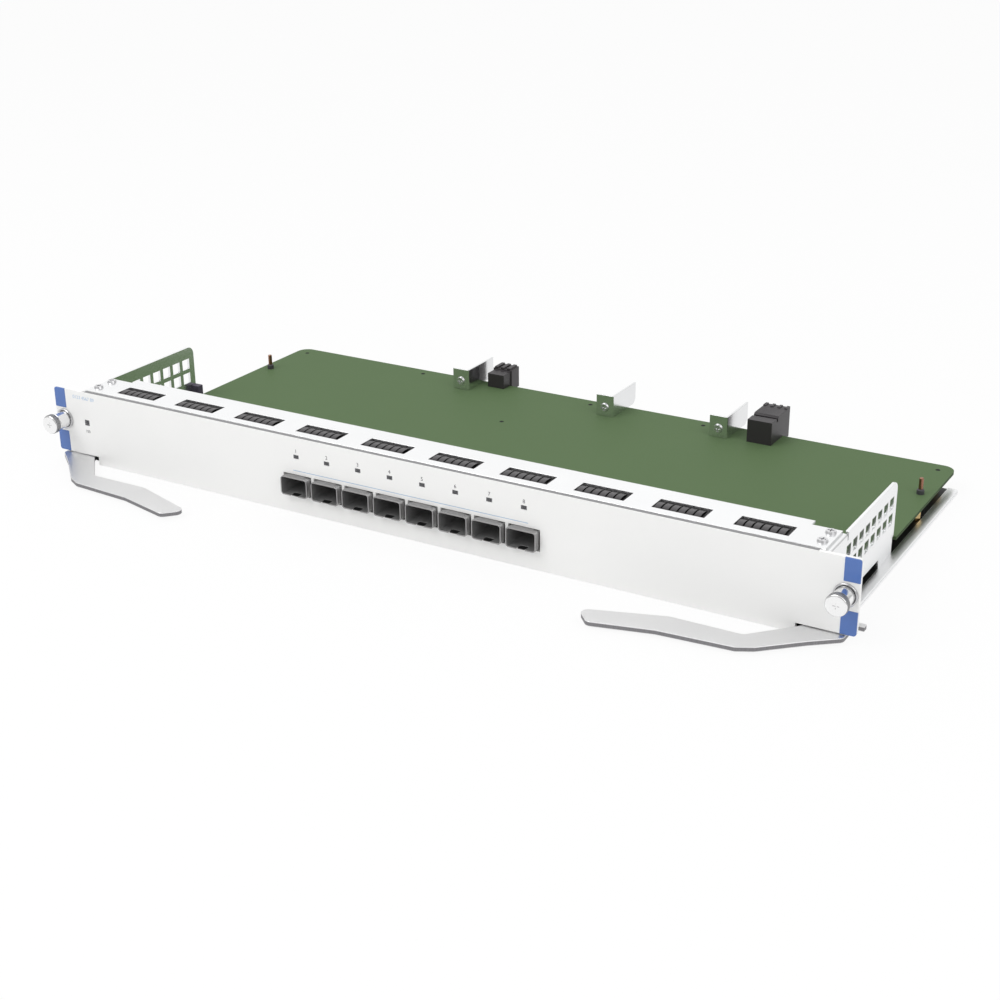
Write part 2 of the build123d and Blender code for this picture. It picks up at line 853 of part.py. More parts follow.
# Threaded blocks on the board behind the guide brackets' legs
with BuildPart() as guide_blocks:
    block_front = guide_front + guide_thick
    with BuildSketch(plane_at(block_front)):
        for guide_x in guide_right_xs:
            with Locations((guide_x - guide_width / 2, board_top + guide_block_height / 2)):
                Rectangle(guide_block_width, guide_block_height)
            with Locations((guide_x - guide_width / 2, board_top + guide_screw_rise)):
                shank_round(pan_radius + hole_clearance, Mode.SUBTRACT)
    extrude(amount=-guide_block_length)
keep(guide_blocks, "guide_blocks")

# Signal connector: a low body on the board and a ridged head past its rear edge
signal_step = board_rear + connector_edge_gap
signal_low = board_top - connector_drop
with BuildPart() as signal_connector:
    with BuildSketch(Plane.XY.offset(board_top)):
        with Locations((signal_x, (signal_front + signal_step) / 2)):
            Rectangle(signal_width, signal_step - signal_front)
    extrude(amount=signal_height)
    with BuildSketch(Plane.XY.offset(signal_low)):
        with Locations((signal_x, (signal_step + signal_rear) / 2)):
            Rectangle(signal_head_width, signal_rear - signal_step)
    extrude(amount=connector_drop + signal_head_height)
    upright = signal_connector.edges().filter_by(Axis.Z).group_by(Axis.Y)[-1]
    fillet(upright, signal_ridge_rise)
    with BuildSketch(Plane.XY.offset(board_top + signal_head_height)):
        with Locations((signal_x, (signal_step + signal_rear - signal_ridge_rise) / 2)):
            with GridLocations(signal_ridge_pitch, 1, signal_columns, 1):
                Rectangle(signal_ridge_width, signal_rear - signal_ridge_rise - signal_step)
    extrude(amount=signal_ridge_rise)
    with BuildSketch(plane_at(signal_rear)):
        with Locations((signal_x, (signal_low + board_top + signal_head_height) / 2)):
            with GridLocations(contact_hole_pitch, contact_hole_pitch, signal_columns, contact_hole_rows):
                Rectangle(contact_hole, contact_hole)
    extrude(amount=contact_hole_depth, mode=Mode.SUBTRACT)
keep(signal_connector, "signal_connector")

# Power connector: a tall body on the board, a cross groove, and a raised head with short ridges
power_head_y = power_step_y + power_groove
power_head_top = board_top + power_height + power_head_rise
with BuildPart() as power_connector:
    with BuildSketch(Plane.YZ.offset(power_x - power_width / 2)) as power_profile:
        Polygon(
            (power_front, board_top),
            (board_rear + connector_edge_gap, board_top),
            (board_rear + connector_edge_gap, board_top - connector_drop),
            (power_rear, board_top - connector_drop),
            (power_rear, power_head_top),
            (power_head_y, power_head_top),
            (power_head_y, board_top + power_height - power_groove_depth),
            (power_step_y, board_top + power_height - power_groove_depth),
            (power_step_y, board_top + power_height),
            (power_front, board_top + power_height),
            align=None,
        )
        head_front = power_profile.vertices().sort_by_distance((power_head_y, power_head_top))[0]
        chamfer(head_front, power_head_rise)
    extrude(amount=power_width)
    power_ridge_pitch = (power_width - power_ridge_width) / (power_columns - 1)
    with BuildSketch(Plane.XY.offset(power_head_top)):
        with Locations((power_x, power_rear - power_ridge_length / 2)):
            with GridLocations(power_ridge_pitch, 1, power_columns, 1):
                Rectangle(power_ridge_width, power_ridge_length)
    extrude(amount=power_ridge_rise)
    with BuildSketch(plane_at(power_rear)):
        with Locations((power_x, (board_top - connector_drop + power_head_top) / 2)):
            with GridLocations(contact_hole_pitch, contact_hole_pitch, power_columns, contact_hole_rows):
                Rectangle(contact_hole, contact_hole)
    extrude(amount=contact_hole_depth, mode=Mode.SUBTRACT)
keep(power_connector, "power_connector")

# Copper-coloured posts through the board and the dark collars around their feet
with BuildPart() as ground_posts:
    with BuildSketch(Plane.XY.offset(board_under)):
        with Locations(*post_places):
            fastener_round(post_radius)
    extrude(amount=board_thick + post_height)
keep(ground_posts, "ground_posts")

with BuildPart() as post_collars:
    with BuildSketch(Plane.XY.offset(board_top)):
        with Locations(*post_places):
            fastener_round(collar_radius)
            fastener_round(post_radius + hole_clearance, Mode.SUBTRACT)
    extrude(amount=collar_height)
keep(post_collars, "post_collars")

# Right ejector lever: a flat grip that bends in to the pivot and ends in a forked claw
with BuildPart() as ejector_lever_right:
    with BuildSketch(Plane(origin=(pivot_x, pivot_setback, lever_low))) as lever_outline:
        Polygon(
            (-hub_reach, 0),
            (-throat_in, -throat_front),
            (-elbow_in, -elbow_inner_front),
            (-flare_start, -elbow_inner_front),
            (-tip_far, -tip_inner_front),
            (-tip_near, -tip_outer_front),
            (-flare_start, -flare_outer_front),
            (-grip_start, -grip_outer_front),
            (-elbow_out, -elbow_outer_front),
            (-shoulder_in, -shoulder_front),
            (heel_reach, -heel_front),
            (heel_reach, -fork_low),
            (fork_root, -fork_low),
            (fork_root, fork_high),
            (claw_reach, fork_high),
            (claw_reach, fork_high + claw_width),
            (hub_reach * 0.7, fork_high + claw_width),
            (0, hub_reach),
            (-hub_reach * 0.7, hub_reach * 0.7),
            align=None,
        )
        for corner, radius in (
            ((-throat_in, -throat_front), lever_bend_round),
            ((-elbow_in, -elbow_inner_front), lever_round),
            ((-flare_start, -elbow_inner_front), lever_bend_round),
            ((-tip_far, -tip_inner_front), lever_round),
            ((-tip_near, -tip_outer_front), lever_round),
            ((-grip_start, -grip_outer_front), lever_round),
            ((-elbow_out, -elbow_outer_front), lever_round),
            ((heel_reach, -heel_front), lever_round),
        ):
            fillet(lever_outline.vertices().sort_by_distance(corner)[0], radius)
        Circle(pivot_radius + pivot_running, mode=Mode.SUBTRACT)
    extrude(amount=lever_thick)
keep(ejector_lever_right, "ejector_lever_right")

with BuildPart() as ejector_lever_left:
    mirror(ejector_lever_right.part, about=Plane.YZ)
keep(ejector_lever_left, "ejector_lever_left")

# Hex-headed pivots, pressed into the tray
for side, hand in ((-1, "left"), (1, "right")):
    with BuildPart() as lever_pivot:
        with BuildSketch(Plane.XY):
            with Locations((side * pivot_x, pivot_setback)):
                RegularPolygon(pivot_radius, press_sides)
        extrude(amount=tray_thick)
        with BuildSketch(Plane.XY.offset(tray_thick)):
            with Locations((side * pivot_x, pivot_setback)):
                Circle(pivot_radius)
        extrude(amount=lever_top + lever_gap - tray_thick)
        with BuildSketch(Plane.XY.offset(lever_top + lever_gap)):
            with Locations((side * pivot_x, pivot_setback)):
                RegularPolygon(pivot_head_radius, 6)
        extrude(amount=pivot_head_height)
    keep(lever_pivot, f"lever_pivot_{hand}")


def return_spring(side):
    """The coil between a ferrule's floor and its knob's roof, drawn with straight short steps."""
    front = -cavity_roof + spring_gap + spring_wire / 2
    back = ferrule_back - ferrule_floor - spring_gap - spring_wire / 2
    steps = round(spring_turns * spring_steps)
    turn = Plane(origin=(side * screw_x, front, screw_z), x_dir=(1, 0, 0), z_dir=(0, 1, 0))
    rise = (back - front) / steps
    places = [
        turn * Pos(0, 0, n * rise) * Rot(0, 0, n * 360 / spring_steps) * Pos(spring_radius, 0)
        for n in range(steps + 1)
    ]
    with BuildPart() as spring:
        with BuildLine() as coil:
            Polyline(*[place.position for place in places])
        with BuildSketch(Plane(origin=coil.line @ 0, x_dir=(1, 0, 0), z_dir=coil.line % 0)):
            Rectangle(spring_wire, spring_wire)
        sweep(transition=Transition.RIGHT)
    return spring


# Captive screws: ferrule, knob with its shank, retaining clip and return spring
clip_front = ferrule_back + clip_gap
groove_front = clip_front - clip_side_play
groove_back = clip_front + clip_thick + clip_side_play
groove_radius = shank_radius - groove_depth
for side, hand in ((-1, "left"), (1, "right")):
    screw_axis = Axis((side * screw_x, 0, screw_z), (0, 1, 0))

    with BuildPart() as captive_ferrule:
        with BuildSketch(plane_at(-face_thick - ferrule_ring_height)):
            with Locations((side * screw_x, screw_z)):
                Circle(ferrule_ring_radius)
        extrude(amount=-ferrule_ring_height)
        with BuildSketch(plane_at(-face_thick)):
            with Locations((side * screw_x, screw_z)):
                RegularPolygon(ferrule_radius, press_sides)
        extrude(amount=-(face_thick + ferrule_back))
        with BuildSketch(plane_at(-face_thick - ferrule_ring_height)):
            with Locations((side * screw_x, screw_z)):
                RegularPolygon(skirt_radius + skirt_clearance, press_sides, major_radius=False)
        bore_length = ferrule_ring_height + face_thick + ferrule_back - ferrule_floor
        extrude(amount=-bore_length, mode=Mode.SUBTRACT)
        with BuildSketch(plane_at(ferrule_back)):
            with Locations((side * screw_x, screw_z)):
                RegularPolygon(shank_radius + shank_clearance, press_sides, major_radius=False)
        extrude(amount=ferrule_floor, mode=Mode.SUBTRACT)
    keep(captive_ferrule, f"captive_ferrule_{hand}")

    with BuildPart() as captive_knob:
        with BuildSketch(screw_plane(side)):
            Polygon(
                (0, -knob_front),
                (knob_radius, -knob_front),
                (knob_radius, -knob_rear),
                (skirt_radius, -knob_rear),
                (skirt_radius, -skirt_end),
                (0, -skirt_end),
                align=None,
            )
        revolve(axis=screw_axis)
        with BuildSketch(plane_at(-skirt_end)):
            with Locations((side * screw_x, screw_z)):
                RegularPolygon(skirt_bore, press_sides, major_radius=False)
        extrude(amount=cavity_roof - skirt_end, mode=Mode.SUBTRACT)
        with BuildSketch(plane_at(-cavity_roof)):
            with Locations((side * screw_x, screw_z)):
                RegularPolygon(shank_radius, press_sides)
        extrude(amount=-(cavity_roof + groove_front))
        with BuildSketch(plane_at(groove_front)):
            with Locations((side * screw_x, screw_z)):
                RegularPolygon(groove_radius, press_sides)
        extrude(amount=-(groove_back - groove_front))
        with BuildSketch(plane_at(groove_back)):
            with Locations((side * screw_x, screw_z)):
                Circle(shank_radius)
        extrude(amount=-(shank_tip - groove_back))
    keep(captive_knob, f"captive_knob_{hand}")

    with BuildPart() as captive_clip:
        with BuildSketch(plane_at(clip_front)):
            with Locations((side * screw_x, screw_z)):
                RegularPolygon(clip_radius, press_sides)
                RegularPolygon(groove_radius + shank_clearance, press_sides, mode=Mode.SUBTRACT)
            with Locations((side * screw_x, screw_z - clip_radius / 2)):
                Rectangle(clip_mouth, clip_radius, mode=Mode.SUBTRACT)
        extrude(amount=-clip_thick)
    keep(captive_clip, f"captive_clip_{hand}")

    keep(return_spring(side), f"captive_spring_{hand}")
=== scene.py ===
"""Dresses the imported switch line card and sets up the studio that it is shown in."""

import json
import math

import bmesh
import bpy
from mathutils import Matrix, Vector


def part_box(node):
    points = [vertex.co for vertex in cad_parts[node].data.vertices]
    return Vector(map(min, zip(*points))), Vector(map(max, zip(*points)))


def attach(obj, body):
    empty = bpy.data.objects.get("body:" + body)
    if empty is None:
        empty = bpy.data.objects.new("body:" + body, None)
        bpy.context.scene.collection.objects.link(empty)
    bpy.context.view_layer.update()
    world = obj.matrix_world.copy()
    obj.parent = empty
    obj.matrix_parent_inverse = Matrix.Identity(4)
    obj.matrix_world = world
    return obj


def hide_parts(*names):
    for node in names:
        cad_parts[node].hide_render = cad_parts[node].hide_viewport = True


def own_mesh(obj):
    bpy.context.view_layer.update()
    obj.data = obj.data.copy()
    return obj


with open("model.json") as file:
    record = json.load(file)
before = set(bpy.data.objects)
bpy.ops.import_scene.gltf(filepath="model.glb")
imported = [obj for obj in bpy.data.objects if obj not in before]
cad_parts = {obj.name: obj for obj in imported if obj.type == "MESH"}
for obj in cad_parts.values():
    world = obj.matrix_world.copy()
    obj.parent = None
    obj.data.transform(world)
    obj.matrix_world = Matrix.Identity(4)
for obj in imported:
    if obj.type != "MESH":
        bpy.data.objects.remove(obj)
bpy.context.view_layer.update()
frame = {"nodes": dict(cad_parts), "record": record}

bl_info = {
    "name": "Switch Line Card",
    "version": (1, 0, 0),
    "blender": (4, 5, 0),
    "location": "3D View > Sidebar > Line Card",
    "description": "Finishes the packed switch line card and lights it in a plain studio",
    "category": "Object",
}

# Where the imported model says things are
BODY_OF = {node: body for body, nodes in frame["record"]["behaviour"]["bodies"].items() for node in nodes}
SLIDES = [joint for joint in frame["record"]["behaviour"]["joints"] if joint["type"] == "slide"]
TRAVEL_OF = {joint["name"]: joint["range_m"][1] for joint in SLIDES}
PORT_CAGES = sorted(node for node in frame["nodes"] if node.startswith("port_cage_"))
PORT_RECEPTACLES = sorted(node for node in frame["nodes"] if node.startswith("port_receptacle_"))
HANDS = ("left", "right")
MM = 0.001

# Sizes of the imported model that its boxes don't give
PIPE = 1.5 * MM
COLLAR = 5.6 * MM
CAGE_SHEET = 0.5 * MM
CONTACT_SHEET = 0.3 * MM
SPRING_WIRE = 0.25 * MM
PAN_HEAD = 1.0 * MM
FLAT_HEAD = 0.6 * MM

# Radii of the folds and bends that are rounded here, outside and inside
CAGE_FOLDS = (1.5 * MM, 1.0 * MM)
PIPE_BENDS = (7.0 * MM, 5.5 * MM)

UP = Vector((0.0, 0.0, 1.0))
BACK = Vector((0.0, 1.0, 0.0))


def middle(node):
    """The centre of a node's box, in metres."""
    low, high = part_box(node)
    return (low + high) / 2


def port_row():
    """The middles of the first and the last port along X, and the pitch between ports."""
    first, last = middle(PORT_CAGES[0]).x, middle(PORT_CAGES[-1]).x
    return first, last, (last - first) / (len(PORT_CAGES) - 1)


class Field:
    """A number that changes over a surface. Sums written on it become Math nodes."""

    def __init__(self, tree, socket):
        self.tree = tree
        self.socket = socket

    def join(self, operation, first, second=0.0):
        sockets = {0: first, 1: second}
        return Field(self.tree, self.tree.out("ShaderNodeMath", {"operation": operation}, sockets))

    def __add__(self, other):
        return self.join("ADD", self, other)

    def __sub__(self, other):
        return self.join("SUBTRACT", self, other)

    def __rsub__(self, other):
        return self.join("SUBTRACT", other, self)

    def __mul__(self, other):
        return self.join("MULTIPLY", self, other)

    def __truediv__(self, other):
        return self.join("DIVIDE", self, other)

    def __rtruediv__(self, other):
        return self.join("DIVIDE", other, self)

    __radd__ = __add__
    __rmul__ = __mul__

    def __gt__(self, level):
        return self.join("GREATER_THAN", self, level)

    def __lt__(self, level):
        return self.join("LESS_THAN", self, level)

    def size(self):
        return self.join("ABSOLUTE", self)

    def or_more(self, other):
        return self.join("MAXIMUM", self, other)

    def left_over(self, step):
        return self.join("FLOORED_MODULO", self, step)


class Tree:
    """A node tree that is wired by short calls."""

    def __init__(self, tree):
        self.tree = tree

    def feed(self, socket, value):
        if isinstance(value, Field):
            value = value.socket
        if isinstance(value, bpy.types.NodeSocket):
            self.tree.links.new(value, socket)
        else:
            socket.default_value = value

    def node(self, kind, settings=None, sockets=None):
        """A node of that kind: its settings first, then the values or links of its sockets."""
        made = self.tree.nodes.new(kind)
        for name, value in (settings or {}).items():
            setattr(made, name, value)
        for name, value in (sockets or {}).items():
            for one in value if isinstance(value, list) else [value]:
                self.feed(made.inputs[name], one)
        return made

    def out(self, kind, settings=None, sockets=None, output=0):
        """One output of a new node."""
        return self.node(kind, settings, sockets).outputs[output]


class Finish(Tree):
    """A material under construction, with the patterns that this object's finishes share."""

    def __init__(self, name, **constants):
        self.material = bpy.data.materials.new(name)
        self.material.use_nodes = True
        super().__init__(self.material.node_tree)
        self.shader = self.tree.nodes["Principled BSDF"]
        self.place = self.out("ShaderNodeTexCoord", output="Object")
        for socket, value in constants.items():
            self.set(socket.replace("_", " ").title().replace("Ior", "IOR"), value)

    def set(self, socket, value):
        self.feed(self.shader.inputs[socket], value)

    def field(self, kind, sockets, settings=None, output=0):
        return Field(self, self.out(kind, settings, sockets, output))

    def along(self, axis):
        return self.field("ShaderNodeSeparateXYZ", {0: self.place}, output=axis)

    def noise(self, grain, stretch=(1.0, 1.0, 1.0), detail=3.0):
        """Noise from 0 to 1 whose features are about grain metres wide, longer where stretch is above 1."""
        scale = tuple(1.0 / part for part in stretch)
        mapped = self.out("ShaderNodeMapping", {}, {"Vector": self.place, "Scale": scale})
        sockets = {"Vector": mapped, "Scale": 1.0 / grain, "Detail": detail, "Roughness": 0.55}
        return self.field("ShaderNodeTexNoise", sockets)

    def cells(self, grain):
        """Distance from 0 at the middle of each rounded cell about grain metres wide."""
        sockets = {"Vector": self.place, "Scale": 1.0 / grain}
        return self.field("ShaderNodeTexVoronoi", sockets, output="Distance")

    def blend(self, factor, *pair):
        """From the first of a pair of colours to the second."""
        first, second = (one if isinstance(one, bpy.types.NodeSocket) else (*one, 1.0) for one in pair)
        return self.out("ShaderNodeMix", {"data_type": "RGBA"}, {0: factor, 6: first, 7: second}, output=2)

    def within(self, value, low, high):
        return (value > low) * (value < high)

    def off_port(self):
        """How far each point lies from the middle of the nearest place in the row of ports."""
        first, _, pitch = port_row()
        return ((self.along(0) - (first - pitch / 2)).left_over(pitch) - pitch / 2).size()

    def tint(self, colour, spread, pattern):
        """The colour, a little darker where the pattern is low and a little lighter where it is high."""
        dark = tuple(part * (1.0 - spread) for part in colour)
        light = tuple(min(part * (1.0 + spread), 1.0) for part in colour)
        return self.blend(pattern, dark, light)

    def done(self, colour, roughness, height, depth):
        """The material, with its colour, its roughness and a bump whose depth is in millimetres."""
        self.set("Base Color", colour)
        self.set("Roughness", roughness)
        sockets = {"Height": height, "Strength": 1.0, "Distance": depth * MM}
        self.set("Normal", self.out("ShaderNodeBump", {}, sockets))
        return self.material


# Finishes


def painted_face(look):
    """Silver-white powder coat with fine orange peel, a rule over the ports and print round the lights."""
    finish = Finish("face_paint", coat_weight=0.15, coat_roughness=0.25)
    cloud = finish.noise(0.05, detail=2.0)
    peel = finish.noise(0.0006, detail=2.0)
    x, y, z = (finish.along(axis) for axis in range(3))
    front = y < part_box("faceplate")[0].y + 0.1 * MM
    first, last, pitch = port_row()
    rule_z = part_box(PORT_CAGES[0])[1].z + look.rule_gap
    rule = finish.within(x, first - look.rule_over, last + look.rule_over)
    rule = rule * finish.within(z, rule_z, rule_z + look.rule_height)
    print_x, print_z = look.surround_width / 2, look.surround_height / 2
    lights = (finish.off_port() < print_x) * ((z - port_light_height()).size() < print_z)
    lights = lights * finish.within(x, first - pitch / 2, last + pitch / 2)
    status = status_light()
    around = ((x - status.x).size() < print_x) * ((z - status.z).size() < print_x)
    body = finish.tint(look.face_colour, 0.015, cloud)
    body = finish.blend(rule * front, body, look.rule_colour)
    body = finish.blend((lights + around) * front, body, look.ink_colour)
    return finish.done(body, 0.34 + 0.08 * peel, peel, 0.006)


def rolled_sheet(name, colour, roughness, direction, cut=None):
    """Bright plated sheet whose rolling lines run along one axis. A cut paints a dark grained band between
    two heights: painted shade.
    """
    finish = Finish(name, metallic=1.0)
    stretch = tuple(30.0 if axis == direction else 1.0 for axis in range(3))
    lines = finish.noise(0.0007, stretch, detail=4.0)
    cloud = finish.noise(0.03)
    body = finish.tint(colour, 0.05, cloud)
    wear = roughness + 0.10 * lines * cloud
    if cut:
        # The cut band's colour is painted shade: on the tray floor under the board, and on the levers'
        # sheared sides over the bare edge.
        low, high, dark = cut
        edge = finish.within(finish.along(2), low, high)
        grain = finish.noise(0.0004, (1.0, 1.0, 12.0), detail=2.0)
        body = finish.blend(edge, body, finish.tint(dark, 0.25, grain))
        wear = wear + 0.15 * edge
    return finish.done(body, wear, lines, 0.0025)


def cage_sheet():
    """Dull tin-plated sheet of the port cages, painted lighter inside them as painted light."""
    finish = Finish("cage_sheet", metallic=1.0)
    low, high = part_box(PORT_CAGES[0])
    # Inside the cages the sheet is painted lighter: painted light in their shaded interiors.
    inside = (finish.off_port() < (high.x - low.x - CAGE_SHEET) / 2) * (finish.along(1) > low.y + 0.2 * MM)
    inside = inside * finish.within(finish.along(2), low.z + CAGE_SHEET / 2, high.z - 1.1 * CAGE_SHEET)
    lines = finish.noise(0.0007, (1.0, 30.0, 1.0), detail=4.0)
    body = finish.tint((0.36, 0.355, 0.355), 0.05, finish.noise(0.03))
    body = finish.blend(inside, body, (0.52, 0.52, 0.52))
    return finish.done(body, 0.42 + 0.10 * lines + 0.1 * inside, lines, 0.0025)


def contact_spring():
    """Dull spring sheet with painted shade: nearly black at the base of the fingers and lighter at their
    crowns.
    """
    finish = Finish("contact_sheet", metallic=0.6)
    low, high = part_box("contact_strip")
    # Darker towards the fingers' base and lighter at their crowns: painted shade inside the strip's windows.
    sockets = {0: finish.along(2), 1: low.z + 0.35 * MM, 2: high.z, 3: 0.0, 4: 1.0}
    rise = finish.field("ShaderNodeMapRange", sockets)
    rub = finish.noise(0.0015, (1.0, 6.0, 1.0))
    body = finish.blend(rise * (0.7 + 0.3 * rub), (0.016, 0.015, 0.016), (0.11, 0.105, 0.11))
    return finish.done(body, 0.34 + 0.14 * rub, rub, 0.003)


def knurled_chrome():
    """Polished knobs whose rims carry a fine straight knurl and a painted dark reflection."""
    finish = Finish("knob_chrome", metallic=1.0)
    x, y, z = (finish.along(axis) for axis in range(3))
    centre = middle("captive_ferrule_right")
    across, up = x.size() - centre.x, z - centre.z
    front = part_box("captive_knob_right")[0].y
    radius = x.join("SQRT", across * across + up * up)
    # The rims' dark colour is a painted dark reflection; their teeth are a real knurl.
    rim_knurl_and_painted_reflection = finish.within(y, front + 0.35 * MM, front + 3.0 * MM) * (radius > 4.2 * MM)
    teeth = x.join("SINE", x.join("ARCTAN2", up, across) * 60.0)
    smears = finish.noise(0.004, detail=4.0)
    body = finish.tint((0.90, 0.90, 0.90), 0.03, smears)
    body = finish.blend(rim_knurl_and_painted_reflection * (0.75 + 0.25 * teeth), body, (0.10, 0.10, 0.11))
    return finish.done(body, 0.13 + 0.07 * smears + 0.15 * rim_knurl_and_painted_reflection, rim_knurl_and_painted_reflection * teeth, 0.05)


def polished(name, colour, roughness):
    """Polished turned metal with faint lathe lines and a few soft smears."""
    finish = Finish(name, metallic=1.0)
    smears = finish.noise(0.004, detail=4.0)
    lines = finish.noise(0.0002, (12.0, 1.0, 12.0), detail=1.0)
    return finish.done(finish.tint(colour, 0.03, smears), roughness + 0.07 * smears, lines, 0.0008)


def enamel(name, colour):
    """Smooth glossy colour with a slight ripple."""
    finish = Finish(name, coat_weight=0.25, coat_roughness=0.12)
    ripple = finish.noise(0.0025, detail=2.0)
    return finish.done(finish.tint(colour, 0.04, ripple), 0.26 + 0.08 * ripple, ripple, 0.004)


def foam(name, colour):
    """Dark conductive foam: open cells with dull skins."""
    finish = Finish(name)
    pores = finish.cells(0.0007)
    cloud = finish.noise(0.006)
    body = finish.tint(colour, 0.35, pores * 0.6 + cloud * 0.4)
    return finish.done(body, 0.72 + 0.2 * cloud, pores, 0.06)


def moulded(name, colour, roughness=0.46):
    """Moulded plastic with a fine spark-eroded grain."""
    finish = Finish(name)
    spark = finish.noise(0.00035)
    body = finish.tint(colour, 0.12, finish.noise(0.008, detail=2.0))
    return finish.done(body, roughness + 0.12 * spark, spark, 0.008)


def smoked_guide(look):
    """Smoked clear plastic of the light pipes."""
    finish = Finish("smoked_guide", coat_weight=0.4, coat_roughness=0.05)
    flow = finish.noise(0.004, detail=2.0)
    return finish.done(finish.tint(look.pipe_colour, 0.15, flow), 0.16 + 0.08 * flow, flow, 0.003)


def chip_lens():
    """Cream moulding of the light chips, paler in patches."""
    finish = Finish("chip_lens")
    flow = finish.noise(0.0008)
    body = finish.blend(flow, (0.72, 0.68, 0.50), (0.88, 0.86, 0.72))
    return finish.done(body, 0.3 + 0.1 * flow, flow, 0.004)


def varnished_board(look):
    """Green varnish over fine copper tracks, with dark dots painted as the shade in the tooling holes, and
    bare laminate edges.
    """
    finish = Finish("board_varnish", specular_ior_level=0.04)
    x, y, z = (finish.along(axis) for axis in range(3))
    wander = finish.noise(0.02, detail=1.0)
    lanes = (x + 0.004 * wander).left_over(look.track_pitch) < look.track_pitch * 0.35
    rungs = (y + 0.003 * wander).left_over(look.track_pitch * 1.5) < look.track_pitch * 0.4
    patch = finish.noise(0.045, detail=0.0) > 0.52
    tracks = lanes * patch + rungs * (1.0 - patch)
    weave = finish.noise(0.0006, detail=2.0)
    cloud = finish.noise(0.03, detail=2.0)
    green = finish.tint(look.board_colour, 0.035, cloud * 0.7 + weave * 0.3)
    raised = finish.tint([part * 1.05 for part in look.board_colour], 0.03, weave)
    colour = finish.blend(tracks * 0.6, green, raised)
    low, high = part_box("circuit_board")
    edge = finish.within(z, low.z + 0.1 * MM, high.z - 0.1 * MM)
    colour = finish.blend(edge, colour, [part * 0.55 for part in look.board_colour])
    # Near black dots over the tooling holes: painted shade inside the holes, with a bump that sinks them.
    hole_shade_dots = 0.0
    for dot in tooling_dots(look):
        sockets = {0: finish.place, 1: (*dot, high.z)}
        away = finish.field("ShaderNodeVectorMath", sockets, {"operation": "DISTANCE"}, "Value")
        hole_shade_dots = (away < look.dot_radius) + hole_shade_dots
    colour = finish.blend(hole_shade_dots, colour, (0.02, 0.02, 0.02))
    return finish.done(colour, 0.5 + 0.1 * weave, tracks * 0.5 + weave * 0.3 + hole_shade_dots * -2.0, 0.02)


def tooling_dots(look):
    """Where the board's small dark holes lie: along its rear edge, in its corners and near its middle."""
    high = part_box("circuit_board")[1]
    centre = middle("ground_posts").x
    corner = high.x - look.dot_corner_inset - centre
    spots = [(x, high.y - look.dot_inset) for x in look.dot_places]
    spots += [(centre + side * corner, high.y - look.dot_corner_inset) for side in (-1, 1)]
    return [*spots, tuple(look.dot_middle)]


def port_light_height():
    """The height of the middle of the lights over the ports."""
    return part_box("light_pipe_bar")[1].z - PIPE / 2


def status_light():
    """The middle of the status light pipe's front end."""
    low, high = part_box("status_light_pipe")
    return Vector((middle("status_light_pipe").x, low.y, high.z - COLLAR / 2))


# Making pieces


def new_piece(name, data):
    """A new object at the origin that holds the data."""
    piece = bpy.data.objects.new(name, data)
    bpy.context.scene.collection.objects.link(piece)
    return piece


def belong_to(piece, node):
    """Gives a finished piece the body of a CAD node."""
    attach(piece, BODY_OF[node])
    return piece


def stand_for(piece, node):
    """Shows a finished piece in place of a CAD node."""
    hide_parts(node)
    return belong_to(piece, node)


def plain_mesh(piece):
    """Applies a piece's modifiers, or turns its text into a mesh."""
    graph = bpy.context.evaluated_depsgraph_get()
    made = bpy.data.meshes.new_from_object(piece.evaluated_get(graph))
    piece.modifiers.clear()
    return made


def merged(mesh, reach=1e-6):
    """A bmesh of the mesh with its doubles merged."""
    build = bmesh.new()
    build.from_mesh(mesh)
    bmesh.ops.remove_doubles(build, verts=build.verts, dist=reach)
    return build


def keep(build, mesh, angle=None):
    """Writes a bmesh to the mesh, smooth but for edges over the angle in degrees, if one is given."""
    build.to_mesh(mesh)
    build.free()
    if angle:
        mesh.shade_smooth()
        mesh.set_sharp_from_angle(angle=math.radians(angle))
    return mesh


def closed(build, name, material, angle=None):
    """A new piece made from a bmesh whose faces are turned outwards."""
    bmesh.ops.recalc_face_normals(build, faces=build.faces)
    mesh = keep(build, bpy.data.meshes.new(name), angle)
    mesh.materials.append(material)
    return new_piece(name, mesh)


def machined(node, material, edge, smooth_angle=38.0, segments=2, rounds=()):
    """A copy of a CAD node with its facets merged, its edges broken by edge metres and its rounds smooth.

    Each of the rounds is a test of an edge and a radius: the edges that pass are rounded first.
    """
    mesh = frame["nodes"][node].data.copy()
    build = merged(mesh)
    flat = math.radians(0.5)
    bmesh.ops.dissolve_limit(build, angle_limit=flat, verts=build.verts, edges=build.edges)
    for test, radius in rounds:
        chosen = [line for line in build.edges if test(line)]
        bmesh.ops.bevel(build, geom=chosen, offset=radius, segments=6, affect="EDGES", profile=0.5)
    mesh.materials.clear()
    mesh.materials.append(material)
    piece = new_piece(f"{node}_finished", keep(build, mesh, smooth_angle))
    bevel = piece.modifiers.new("broken edges", "BEVEL")
    bevel.width = edge
    bevel.segments = segments
    bevel.limit_method = "ANGLE"
    bevel.angle_limit = math.radians(smooth_angle)
    bevel.harden_normals = True
    piece.data = plain_mesh(piece)
    return stand_for(piece, node)


